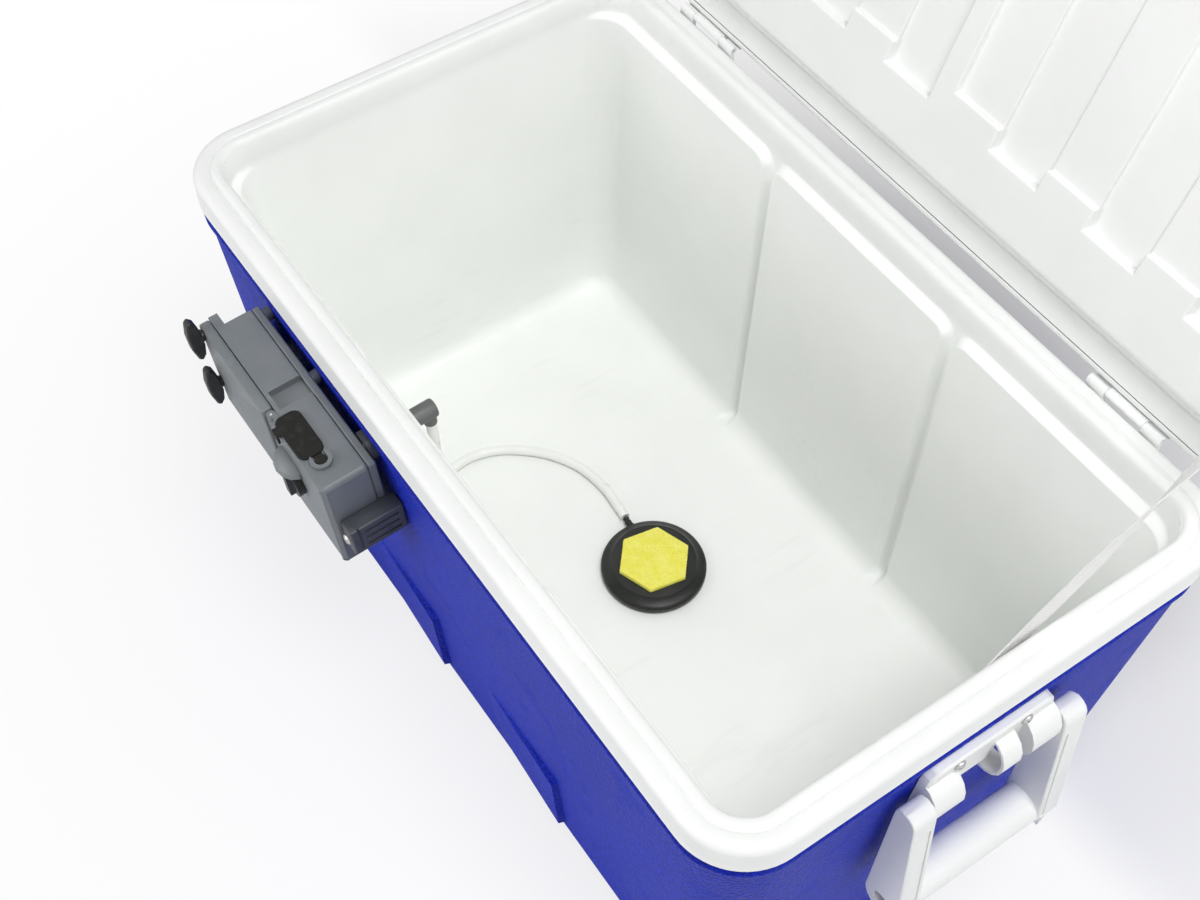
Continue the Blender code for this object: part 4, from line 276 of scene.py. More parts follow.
class Recipe(Nodes):
    """A Geometry Nodes tree with named sizes, run once on a mesh to give a plain mesh."""

    def __init__(self, name, **sizes):
        self.tree = bpy.data.node_groups.new(name, "GeometryNodeTree")
        face = self.tree.interface
        face.new_socket("Geometry", in_out="INPUT", socket_type="NodeSocketGeometry")
        face.new_socket("Geometry", in_out="OUTPUT", socket_type="NodeSocketGeometry")
        self.values = {}
        for size, value in sizes.items():
            kind = "NodeSocketInt" if isinstance(value, int) else "NodeSocketFloat"
            socket = face.new_socket(size, in_out="INPUT", socket_type=kind)
            self.values[socket.identifier] = value
        self.entry = self.tree.nodes.new("NodeGroupInput")

    def given(self, name="Geometry"):
        return Wire(self, self.entry.outputs[name])

    def vector(self, x, y, z):
        return self.node("ShaderNodeCombineXYZ", None, {0: x, 1: y, 2: z})

    def run(self, mesh, result, material):
        """Realises the result, gives it its material, and returns the plain mesh."""
        real = self.node("GeometryNodeRealizeInstances", None, {"Geometry": result})
        dressed = self.node("GeometryNodeSetMaterial", None, {"Geometry": real, "Material": material})
        leave = self.tree.nodes.new("NodeGroupOutput")
        self.tree.links.new(dressed.socket, leave.inputs[0])
        bench = bpy.data.objects.new("bench", mesh)
        scene.collection.objects.link(bench)
        step = bench.modifiers.new("recipe", "NODES")
        step.node_group = self.tree
        for identifier, value in self.values.items():
            step[identifier] = value
        bpy.context.view_layer.update()
        made = bpy.data.meshes.new_from_object(bench.evaluated_get(bpy.context.evaluated_depsgraph_get()))
        bpy.data.objects.remove(bench)
        return made


def eased(points, each):
    """Points on a smooth curve through the given ones, with so many between each two."""
    given = [Vector(p) for p in points]
    padded = [given[0] * 2 - given[1], *given, given[-1] * 2 - given[-2]]
    fine = []
    for before, start, end, after in zip(padded, padded[1:], padded[2:], padded[3:]):
        for i in range(each):
            t = i / each
            second = 2 * before - 5 * start + 4 * end - after
            third = 3 * start - before - 3 * end + after
            fine.append(0.5 * (2 * start + (end - before) * t + second * t * t + third * t * t * t))
    fine.append(given[-1])
    return fine


def polyline(points):
    mesh = bpy.data.meshes.new("line")
    mesh.from_pydata([tuple(p) for p in points], [(i, i + 1) for i in range(len(points) - 1)], [])
    return mesh


milky = Finish("milky_vinyl", IOR=1.45, Transmission_Weight=0.05, Specular_IOR_Level=0.4)
haze = milky.cloud(60.0)
wipe = milky.cloud(900.0, 2.0)
milky_vinyl = milky.close(milky.mixed(haze.ease(0.35, 0.7), (0.93, 0.945, 0.91), (0.96, 0.97, 0.94)),
                          0.22 + 0.16 * haze, wipe, 0.00004)
tube_line = eased([TUBE_ENDS[0], *TUBE_ROUTE, TUBE_ENDS[1]], TUBE_STEPS)
drawn = Recipe("vinyl_tube", outside=TUBE_RADIUS, inside=TUBE_BORE)
along = drawn.node("GeometryNodeMeshToCurve", None, {"Mesh": drawn.given()})
walls = []
for size in ("outside", "inside"):
    ring = drawn.node("GeometryNodeCurvePrimitiveCircle", None,
                      {"Resolution": TUBE_SIDES, "Radius": drawn.given(size)})
    walls.append(drawn.node("GeometryNodeCurveToMesh", None,
                            {"Curve": along, "Profile Curve": ring, "Fill Caps": False}))
inner_wall = drawn.node("GeometryNodeFlipFaces", None, {"Mesh": walls[1]})
both = drawn.node("GeometryNodeJoinGeometry")
both_node = both.socket.node
for wall in (walls[0], inner_wall):
    drawn.tree.links.new(wall.socket, both_node.inputs[0])
tube_mesh = drawn.run(polyline(tube_line), both, milky_vinyl)
bm = bmesh.new()
bm.from_mesh(tube_mesh)
edges = [e for e in bm.edges if e.is_boundary]
for end in TUBE_ENDS:
    near = [e for e in edges if (e.verts[0].co - Vector(end)).length < 1.5 * TUBE_RADIUS]
    bmesh.ops.bridge_loops(bm, edges=near)
bm.to_mesh(tube_mesh)
bm.free()
tube_mesh.shade_smooth()
tube_mesh.set_sharp_from_angle(angle=math.radians(50))
air_tube = settle(tube_mesh, "air_tube_vinyl", ["air_tube"], None)

# The body is one blue shell of moulded polyethylene with a fine leather grain. It tapers to its
# foot, has a thin ledge under the rim, and two swelling pads low on its front wall.
RIM_LENGTH = 0.660
RIM_WIDTH = 0.394
RIM_BOTTOM = 0.325
RIM_TOP = 0.350
RIM_CORNER = 0.046
RIM_SKIN = 0.0024
BODY_INSET = 0.003
BODY_DRAFT = 0.07
BODY_WALL = 0.0025
FOOT_RADIUS = 0.030
LEDGE_PROUD = 0.0025
LEDGE_SECTION = ((0.3086, 0.0), (0.3092, 0.35), (0.3102, 0.85), (0.3113, 1.0), (0.3138, 1.0), (0.3149, 0.85),
                 (0.3159, 0.35), (0.3165, 0.0))
PAD_LENGTH = 0.085
PAD_ENDS = (-0.025, 0.135)
PAD_HEIGHTS = (0.0335, 0.1085)
PAD_PROUD = 0.005
PAD_START = 0.0005
PAD_SLOPE = 0.002
SHELL_TOP = 0.3473
half_length = RIM_LENGTH / 2
half_width = RIM_WIDTH / 2


def ramp(value, low, high):
    """0 to 1 between two values, eased at both ends."""
    share = min(1.0, max(0.0, (value - low) / (high - low)))
    return share * share * (3.0 - 2.0 * share)


def wall_columns(stations, corner_steps, end_steps):
    """The columns once round a chest wall: kind, side and place."""
    columns = []
    for quarter, side in ((0, 1), (1, 1), (2, -1), (3, -1)):
        for i in range(corner_steps + 1):
            columns.append(("corner", quarter, math.pi / 2 * (quarter + i / corner_steps)))
        if quarter in (0, 2):
            columns += [("long", side, x) for x in sorted(stations, reverse=quarter == 0)]
        else:
            end = -1 if quarter == 1 else 1
            columns += [("end", end, side * (1 - 2 * i / end_steps)) for i in range(1, end_steps)]
    return columns


def wall_point(column, reach, half_x, half_y, radius, z):
    """Where a column stands in a row with these sizes. Past the reach, the long columns are stretched."""
    kind, side, place = column
    if kind == "corner":
        sign_x = 1 if side in (0, 3) else -1
        sign_y = 1 if side in (0, 1) else -1
        return Vector((sign_x * (half_x - radius) + radius * math.cos(place),
                       sign_y * (half_y - radius) + radius * math.sin(place), z))
    if kind == "end":
        return Vector((side * half_x, place * (half_y - radius), z))
    x = place
    if abs(x) > reach:
        share = (abs(x) - reach) / (0.5 - reach)
        x = math.copysign(reach + share * (half_x - radius - reach), place)
    return Vector((x, side * half_y, z))


def skinned(loops):
    """A closed mesh through loops of points, each with as many points, capped at both ends."""
    bm = bmesh.new()
    rings = [[bm.verts.new(p) for p in loop] for loop in loops]
    for lower, upper in zip(rings, rings[1:]):
        for i in range(len(lower)):
            j = (i + 1) % len(lower)
            bm.faces.new((lower[i], lower[j], upper[j], upper[i]))
    bm.faces.new(rings[0])
    bm.faces.new(rings[-1])
    bmesh.ops.remove_doubles(bm, verts=bm.verts, dist=1e-6)
    bmesh.ops.recalc_face_normals(bm, faces=bm.faces)
    mesh = bpy.data.meshes.new("skin")
    bm.to_mesh(mesh)
    bm.free()
    mesh.shade_smooth()
    mesh.set_sharp_from_angle(angle=math.radians(42))
    return mesh


REACH = 0.20
body_stations = set(np.round(np.linspace(-REACH, REACH, 33), 5)) | {-0.35, -0.28, 0.28, 0.35, -0.42, 0.42}
for pad_end in PAD_ENDS:
    for near in (-PAD_LENGTH - 0.001, -PAD_LENGTH, -0.0022, -0.0015, -0.0008, 0.0, 0.0008, 0.0016):
        body_stations.add(round(pad_end + near, 5))
body_columns = wall_columns(body_stations, 12, 6)


def pad_height(x, z):
    """How far the front wall's two pads stand out at a place."""
    out = 0.0
    for pad_end in PAD_ENDS:
        share = (x - pad_end + PAD_LENGTH) / PAD_LENGTH
        rise = PAD_START + (PAD_PROUD - PAD_START) * min(1.0, max(0.0, share))
        left = ramp(x, pad_end - PAD_LENGTH - 0.001, pad_end - PAD_LENGTH)
        right_side = 1.0 - ramp(x, pad_end - 0.0015, pad_end)
        foot_side = ramp(z, PAD_HEIGHTS[0], PAD_HEIGHTS[0] + PAD_SLOPE)
        top_side = 1.0 - ramp(z, PAD_HEIGHTS[1] - PAD_SLOPE, PAD_HEIGHTS[1])
        out += rise * left * right_side * foot_side * top_side
    return out


def body_row(z, extra, inward=0.0):
    inset = BODY_INSET + BODY_DRAFT * max(0.0, RIM_BOTTOM - z) + extra + inward
    return half_length - inset, half_width - inset, RIM_CORNER - BODY_INSET - extra - inward * 0.8, z


body_rows = []
for inward in (0.075, FOOT_RADIUS):
    half_x, half_y, radius, z = body_row(0.0, 0.0, inward)
    body_rows.append((half_x, half_y, max(0.004, radius), 0.0))
for step in range(1, 10):
    turn = math.pi / 2 * step / 9
    z = FOOT_RADIUS - FOOT_RADIUS * math.cos(turn)
    body_rows.append(body_row(z, 0.0, FOOT_RADIUS * (1.0 - math.sin(turn))))
low, high = PAD_HEIGHTS
row_heights = (low, low + 0.0007, low + 0.0014, low + PAD_SLOPE, 0.055, 0.07, 0.085, 0.098,
               high - PAD_SLOPE, high - 0.0014, high - 0.0007, high, 0.125, 0.15, 0.18, 0.21, 0.24, 0.27,
               0.295, 0.3075)
for z in row_heights:
    body_rows.append(body_row(z, 0.0))
for z, share in LEDGE_SECTION:
    body_rows.append(body_row(z, -LEDGE_PROUD * share))
for z in (0.322, 0.330, 0.340, SHELL_TOP - 0.0005):
    body_rows.append(body_row(z, 0.0))
for z, extra in ((SHELL_TOP, 0.0005), (SHELL_TOP, BODY_WALL - 0.0005), (SHELL_TOP - 0.0005, BODY_WALL),
                 (0.28, BODY_WALL), (0.16, BODY_WALL)):
    body_rows.append(body_row(z, extra))
inner_foot = FOOT_RADIUS - BODY_WALL
for step in range(5, -1, -1):
    turn = math.pi / 2 * step / 5
    z = FOOT_RADIUS - inner_foot * math.cos(turn)
    body_rows.append(body_row(z, BODY_WALL, inner_foot * (1.0 - math.sin(turn))))
loops = []
for row in body_rows:
    loop = [wall_point(column, REACH, *row) for column in body_columns]
    for column, point in zip(body_columns, loop):
        if column[0] == "long" and column[1] < 0:
            point.y -= pad_height(point.x, point.z)
    loops.append(loop)

blue = Finish("blue_grained_shell", Specular_IOR_Level=0.14)
grain = blue.pebbles(480.0)
fine_grain = blue.cloud(1500.0, 2.0)
patches = blue.cloud(7.0, 4.0)
rubbed = (blue.cloud(45.0, 5.0) * blue.cloud(11.0, 2.0)).ease(0.30, 0.42)
blue_tone = blue.mixed(patches.ease(0.3, 0.7), (0.005, 0.024, 0.47), (0.011, 0.034, 0.55))
blue_tone = blue.mixed(grain.ease(0.25, 0.62) * 0.55, blue_tone, (0.001, 0.006, 0.20))
blue_tone = blue.mixed(rubbed * 0.12, blue_tone, (0.08, 0.12, 0.60))
blue_shell = blue.close(blue_tone, 0.46 + 0.12 * patches + 0.10 * rubbed, 1.0 - grain + 0.25 * fine_grain,
                        0.0010)
settle(skinned(loops), "body_blue_moulding", ["outer_shell"], blue_shell)

# Foam is poured between the shell and the liner and fills the lid. It is pale cream, closed-cell,
# and hidden once the chest is closed up.
cells = Finish("cream_closed_cell_foam", Specular_IOR_Level=0.2)
bubbles = cells.pebbles(900.0)
foam_tone = cells.mixed(cells.cloud(30.0), (0.74, 0.66, 0.42), (0.82, 0.75, 0.52))
cream_foam = cells.close(foam_tone, 0.85 + 0.1 * bubbles, bubbles, 0.0002)


def dressed(node, material):
    """A CAD node that is right as it is gets its finish."""
    data = frame["nodes"][node].data
    data.materials.clear()
    data.materials.append(material)


for node in ("foam_core", "lid_foam"):
    dressed(node, cream_foam)

# The liner and the rim are one white moulding. The rim laps over the shell, carries a raised bead
# and a fine groove, and steps down a ledge to wall panels parted by four shallow channels.
BEAD = 0.0015
CAVITY_INSET = 0.0234
CAVITY_DRAFT = 0.03
CAVITY_CORNER = 0.025
CAVITY_FLOOR = 0.028
FLOOR_FILLET = 0.015
FLOOR_MIDDLE = 0.05
LINER_WALL = 0.0025
PANEL_DEPTH = 0.0075
PANEL_LEDGE = 0.005
PANEL_CORNER = 0.010
CHANNEL_X = 0.099
CHANNEL_HALF = 0.006


def panel_share(x, z, offset):
    """1 on a raised wall panel, 0 in a channel and above the ledge, and smooth on the slopes."""
    up = z - (RIM_BOTTOM - PANEL_CORNER)
    best = 0.0
    for across in (abs(x) - (CHANNEL_X - CHANNEL_HALF - PANEL_CORNER),
                   CHANNEL_X + CHANNEL_HALF + PANEL_CORNER - abs(x)):
        clear = math.hypot(max(across, 0.0), max(up, 0.0))
        away = clear + min(max(across, up), 0.0) - PANEL_CORNER + offset
        steep = 1.0 if clear == 0.0 else max(0.0, up) / clear
        if across < 0.0 < up:
            steep = 1.0
        elif clear == 0.0:
            steep = 0.0
        slope = 0.0042 + (PANEL_LEDGE - 0.0042) * steep * steep
        best = max(best, 1.0 - ramp(away, -0.0008, slope))
    return best


liner_stations = {0.0, -0.35, 0.35, -0.28, 0.28, -0.43, 0.43}
for first, last, apart in ((0.014, 0.080, 0.011), (0.084, 0.1145, 0.0012), (0.117, 0.2, 0.012)):
    for x in np.arange(first, last, apart):
        liner_stations |= {round(float(x), 5), round(float(-x), 5)}
liner_columns = wall_columns(liner_stations, 14, 8)

liner_rows = []
under_foot = CAVITY_INSET + CAVITY_DRAFT * 0.285 + FLOOR_FILLET - LINER_WALL
for inward in (FLOOR_MIDDLE, 0.02):
    corner = max(0.004, 0.014 - inward * 0.3)
    share = 1.0 - inward / FLOOR_MIDDLE
    liner_rows.append((under_foot + inward, CAVITY_FLOOR - LINER_WALL, corner, LINER_WALL, share))


def fillet_rows(offset):
    rows = []
    radius = FLOOR_FILLET + offset
    for step in range(8):
        turn = math.pi / 2 * step / 7
        z = CAVITY_FLOOR + FLOOR_FILLET - radius * math.cos(turn)
        inward = radius * (1.0 - math.sin(turn)) + CAVITY_DRAFT * (RIM_BOTTOM - z) - offset
        corner = CAVITY_CORNER + offset - radius * (1.0 - math.sin(turn)) * 0.6
        rows.append((CAVITY_INSET + inward, z, corner, offset, 1.0))
    return rows


wall_heights = [0.052, 0.068, 0.086, 0.105, 0.125, 0.145, 0.165, 0.185, 0.205, 0.225, 0.245, 0.262, 0.276,
                0.286, 0.293, 0.299, 0.304, 0.309, 0.3125, 0.3155, 0.318]
wall_heights += [round(z, 4) for z in np.arange(0.3200, 0.3330, 0.0009)] + [0.3345, 0.3365]
liner_rows += fillet_rows(LINER_WALL)
for z in wall_heights:
    inset = CAVITY_INSET - LINER_WALL + CAVITY_DRAFT * max(0.0, RIM_BOTTOM - z)
    liner_rows.append((inset, z, CAVITY_CORNER + LINER_WALL, LINER_WALL, 1.0))
back_inset = CAVITY_INSET - LINER_WALL
liner_rows.append((back_inset, RIM_TOP - RIM_SKIN, CAVITY_CORNER + LINER_WALL, LINER_WALL, 1.0))
rim_profile = [(RIM_SKIN, RIM_TOP - RIM_SKIN), (RIM_SKIN, RIM_BOTTOM), (0.0004, RIM_BOTTOM),
               (0.0, RIM_BOTTOM + 0.0004)]
for step in range(9):
    turn = math.pi / 2 * step / 8
    rim_profile.append((0.006 - 0.006 * math.cos(turn), RIM_TOP - 0.006 + 0.006 * math.sin(turn)))
rim_profile += [(0.0108, RIM_TOP), (0.0113, RIM_TOP - 0.0002), (0.0118, RIM_TOP - 0.0009),
                (0.0124, RIM_TOP - 0.0012), (0.0130, RIM_TOP - 0.0008), (0.0135, RIM_TOP + 0.0002),
                (0.0142, RIM_TOP + 0.0010), (0.0150, RIM_TOP + 0.0014), (0.0160, RIM_TOP + BEAD),
                (0.0184, RIM_TOP + BEAD), (0.0194, RIM_TOP + 0.0012), (0.0202, RIM_TOP + 0.0005),
                (0.0209, RIM_TOP - 0.0006), (0.0216, RIM_TOP - 0.0022), (0.0222, RIM_TOP - 0.0045)]
liner_rows += [(inset, z, RIM_CORNER - inset, 0.0, None) for inset, z in rim_profile]
liner_rows += [(0.0228, RIM_TOP - 0.0085, 0.0243, 0.0, None)]
for z in reversed(wall_heights):
    liner_rows.append((CAVITY_INSET + CAVITY_DRAFT * max(0.0, RIM_BOTTOM - z), z, CAVITY_CORNER, 0.0, 1.0))
liner_rows += reversed(fillet_rows(0.0))
foot = CAVITY_INSET + CAVITY_DRAFT * 0.297 + FLOOR_FILLET
for inward in (0.004, 0.009, 0.015, 0.022, 0.032, FLOOR_MIDDLE):
    share = 1.0 - ramp(inward, 0.0, 0.032)
    liner_rows.append((foot + inward, CAVITY_FLOOR, 0.0178 - inward * 0.25, 0.0, share))

loops = []
for inset, z, radius, offset, channelled in liner_rows:
    loop = []
    ledge = 0.0 if channelled is None else 1.0 - ramp(z - RIM_BOTTOM + offset, -0.0008, PANEL_LEDGE)
    for column in liner_columns:
        share = ledge
        if column[0] == "long" and channelled is not None:
            x = wall_point(column, REACH, half_length - inset, half_width - inset, radius, z).x
            share = ledge + (panel_share(x, z, offset) - ledge) * channelled
        half_y = half_width - inset - PANEL_DEPTH * share
        loop.append(wall_point(column, REACH, half_length - inset, half_y, radius, z))
    loops.append(loop)

white = Finish("white_liner_moulding", Specular_IOR_Level=0.45)
soft_grain = white.cloud(750.0, 2.0)
waves = white.cloud(14.0, 3.0)
height_up = white.node("ShaderNodeSeparateXYZ", None, {0: white.place}, 2)
# Painted light: below the rim this white is painted brighter to make up for the shade inside the cavity.
# From the rim up, where the light falls full, it is painted darker. Liner and rim are one moulding. The
# scuffs mixed in after are wear.
cavity_painted_brighter_tone = white.mixed(waves.ease(0.3, 0.7), (0.91, 0.925, 0.905), (0.935, 0.95, 0.93))
rim_painted_darker_tone = white.mixed(waves.ease(0.3, 0.7), (0.85, 0.86, 0.85), (0.88, 0.89, 0.88))
rim_painted_darker_share = height_up.ease(0.324, 0.336)
white_painted_light_and_scuffs = white.mixed(rim_painted_darker_share, cavity_painted_brighter_tone, rim_painted_darker_tone)
scuffs = (white.cloud(160.0, 4.0, white.stretched(1.0, 0.12, 1.0)) * white.cloud(9.0)).ease(0.36, 0.44)
white_painted_light_and_scuffs = white.mixed(scuffs * 0.10, white_painted_light_and_scuffs, (0.70, 0.70, 0.67))
white_liner = white.close(white_painted_light_and_scuffs, 0.36 + 0.12 * waves + 0.08 * scuffs, soft_grain, 0.00006)
settle(skinned(loops), "liner_and_rim_moulding", ["inner_liner"], white_liner)

# The lid is a white shell swept round the same rounded plan, foamed, and closed by a lining with a
# plug that drops into the mouth. The lining has two rows of pockets pressed into it.
HINGE_Y = 0.2004
HINGE_Z = 0.35075
LID_OPEN = math.radians(110)
LID_SEAT = 0.352
LID_TOP = 0.392
LID_SKIN = 0.0025
POCKET_FIELD = (0.275, 0.15)
POCKET_ROUND = 0.00145
lid_place = Matrix.Translation((0.0, HINGE_Y, HINGE_Z)) @ Matrix.Rotation(-LID_OPEN, 4, "X")
lid_turn = lid_place @ Matrix.Translation((0.0, -HINGE_Y, -HINGE_Z))
lid_profile = [(0.0034, LID_SEAT), (0.0022, LID_SEAT + 0.0002), (0.0010, LID_SEAT + 0.0010),
               (0.0002, LID_SEAT + 0.0024), (0.0, LID_SEAT + 0.0045), (0.0, LID_TOP - 0.015)]
for step in range(1, 8):
    turn = math.pi / 2 * step / 8
    lid_profile.append((0.0115 - 0.0115 * math.cos(turn), LID_TOP - 0.014 + 0.0135 * math.sin(turn)))
lid_profile += [(0.0160, LID_TOP + 0.0008), (0.0230, LID_TOP + 0.0020), (0.0300, LID_TOP + 0.0028),
                (0.0380, LID_TOP + 0.0033)]
lid_profile.reverse()
lid_profile += [(0.0052, LID_SEAT), (LID_SKIN + 0.0004, LID_SEAT + 0.0010), (LID_SKIN, LID_TOP - 0.018),
                (0.0045, LID_TOP - 0.010), (0.012, LID_TOP - 0.0035), (0.031, LID_TOP + 0.0003),
                (0.038, LID_TOP + 0.0008)]
plan = Recipe("swept_lid", length=RIM_LENGTH, width=RIM_WIDTH, corner=RIM_CORNER, corner_steps=16)
section = plan.node("GeometryNodeMeshToCurve", None, {"Mesh": plan.given()})
outline = plan.node("GeometryNodeCurvePrimitiveQuadrilateral", None,
                    {"Width": plan.given("length"), "Height": plan.given("width")})
rounded = plan.node("GeometryNodeFilletCurve", {"mode": "POLY"}, {
    "Curve": outline, "Count": plan.given("corner_steps"), "Radius": plan.given("corner")})
swept = plan.node("GeometryNodeCurveToMesh", None,
                  {"Curve": rounded, "Profile Curve": section, "Fill Caps": False})
white_lid_finish = Finish("white_lid_moulding", Specular_IOR_Level=0.45)
lid_grain = white_lid_finish.pebbles(700.0)
lid_waves = white_lid_finish.cloud(10.0, 3.0)
lid_tone = white_lid_finish.mixed(lid_waves.ease(0.3, 0.7), (0.82, 0.83, 0.82), (0.86, 0.87, 0.86))
white_lid = white_lid_finish.close(lid_tone, 0.36 + 0.12 * lid_waves, 1.0 - lid_grain, 0.00012)
lid_mesh = plan.run(polyline([(-inset, -z, 0.0) for inset, z in lid_profile]), swept, white_lid)
bm = bmesh.new()
bm.from_mesh(lid_mesh)
bmesh.ops.remove_doubles(bm, verts=bm.verts, dist=1e-6)
bmesh.ops.holes_fill(bm, edges=[e for e in bm.edges if e.is_boundary], sides=0)
bmesh.ops.transform(bm, matrix=lid_turn, verts=bm.verts)
bmesh.ops.recalc_face_normals(bm, faces=bm.faces)
bm.to_mesh(lid_mesh)
bm.free()
lid_mesh.shade_smooth()
lid_mesh.set_sharp_from_angle(angle=math.radians(42))
settle(lid_mesh, "lid_shell_moulding", ["lid_shell"], white_lid)


def refined(node, material, width=0.0005, steps=2, sharp=32, over=28, rounder=None, round_width=0.0,
            tools=()):
    """A clean copy of a CAD node with its loose triangles joined, its edges eased and its curves smooth.

    Edges that the rounder picks by their two ends are first rounded to the round width. Tools are
    pairs of a boolean's name and a closed mesh, used before that.
    """
    bm = bmesh.new()
    bm.from_mesh(frame["nodes"][node].data)
    bmesh.ops.remove_doubles(bm, verts=bm.verts, dist=2e-6)
    bmesh.ops.dissolve_limit(bm, angle_limit=math.radians(0.6), verts=bm.verts, edges=bm.edges)
    if rounder:
        weight = bm.edges.layers.float.new("bevel_weight_edge")
        for edge in bm.edges:
            if len(edge.link_faces) == 2 and edge.calc_face_angle() > math.radians(over):
                edge[weight] = float(rounder(*[v.co for v in edge.verts]))
    mesh = bpy.data.meshes.new(node)
    bm.to_mesh(mesh)
    bm.free()
    mesh.materials.clear()
    mesh.materials.append(material)
    mesh.shade_smooth()
    mesh.set_sharp_from_angle(angle=math.radians(sharp))
    bench = bpy.data.objects.new("bench", mesh)
    scene.collection.objects.link(bench)
    tool_objects = []
    for operation, tool in tools:
        tool_objects.append(bpy.data.objects.new("tool", tool))
        scene.collection.objects.link(tool_objects[-1])
        cut = bench.modifiers.new(operation, "BOOLEAN")
        cut.operation = operation
        cut.object = tool_objects[-1]
        cut.solver = "EXACT"
    if rounder:
        step = bench.modifiers.new("round edges", "BEVEL")
        step.width = round_width
        step.segments = 5
        step.limit_method = "WEIGHT"
        step.use_clamp_overlap = False
    step = bench.modifiers.new("eased edges", "BEVEL")
    step.width = width
    step.segments = steps
    step.limit_method = "ANGLE"
    step.angle_limit = math.radians(over)
    if rounder:
        even = bench.modifiers.new("even shading", "WEIGHTED_NORMAL")
        even.keep_sharp = True
    else:
        step.harden_normals = True
    bpy.context.view_layer.update()
    made = bpy.data.meshes.new_from_object(bench.evaluated_get(bpy.context.evaluated_depsgraph_get()))
    for used in (bench, *tool_objects):
        bpy.data.objects.remove(used)
    return settle(made, node + "_finished", [node], None)


def on_pocket(start, end):
    """True for the edges of the lid's pressed pockets, seen with the lid shut."""
    shut = [lid_turn.inverted() @ place for place in (start, end)]
    return all(abs(place.x) < POCKET_FIELD[0] and abs(place.y) < POCKET_FIELD[1] and place.z < LID_SEAT
               for place in shut)


refined("lid_liner", white_liner, 0.0004, 4, rounder=on_pocket, round_width=POCKET_ROUND)

# Each of the two lid hinges is a pair of white moulded leaves on a steel pin. One leaf is screwed to
# the chest's back wall and one to the lid's back edge.
for side in ("left", "right"):
    refined("hinge_body_leaf_" + side, white_lid, 0.0006)
    refined("hinge_lid_leaf_" + side, white_lid, 0.0006)

# Screws are plated steel pan heads with a cross recess. One recipe sets them all, on the chest and
# on the lid, each turned as it happened to stop.
SCREW_HEAD = 0.0042
SCREW_HEAD_HEIGHT = 0.0022
SCREW_SHANK = 0.0018
SCREW_DEPTH = 0.0085
SCREW_SLOT = 0.0009
CHEST_SCREWS = {"bracket_screw_right_1": (1, 0, -0.07), "bracket_screw_right_2": (1, 0, -0.07),
                "bracket_screw_left_1": (-1, 0, -0.07), "bracket_screw_left_2": (-1, 0, -0.07),
                "hinge_body_screw_left_1": (0, 1, 0), "hinge_body_screw_left_2": (0, 1, 0),
                "hinge_body_screw_right_1": (0, 1, 0), "hinge_body_screw_right_2": (0, 1, 0),
                "strap_screw_body": (-1, 0, 0), "clip_screw_left": (0, -1, -0.07),
                "clip_screw_right": (0, -1, -0.07)}
lid_out = lid_turn.to_3x3() @ Vector((0.0, 1.0, 0.0))
lid_down = lid_turn.to_3x3() @ Vector((0.0, 0.0, -1.0))
LID_SCREWS = {"hinge_lid_screw_left_1": lid_out, "hinge_lid_screw_left_2": lid_out,
              "hinge_lid_screw_right_1": lid_out, "hinge_lid_screw_right_2": lid_out,
              "strap_screw_lid": lid_down}

plated = Finish("plated_steel", Metallic=1.0)
brushed = plated.cloud(2500.0, 3.0)
tarnish = plated.cloud(700.0, 4.0)
steel_tone = plated.mixed(tarnish.ease(0.4, 0.7), (0.62, 0.62, 0.61), (0.42, 0.41, 0.39))
plated_steel = plated.close(steel_tone, 0.28 + 0.25 * tarnish, brushed, 0.00002)

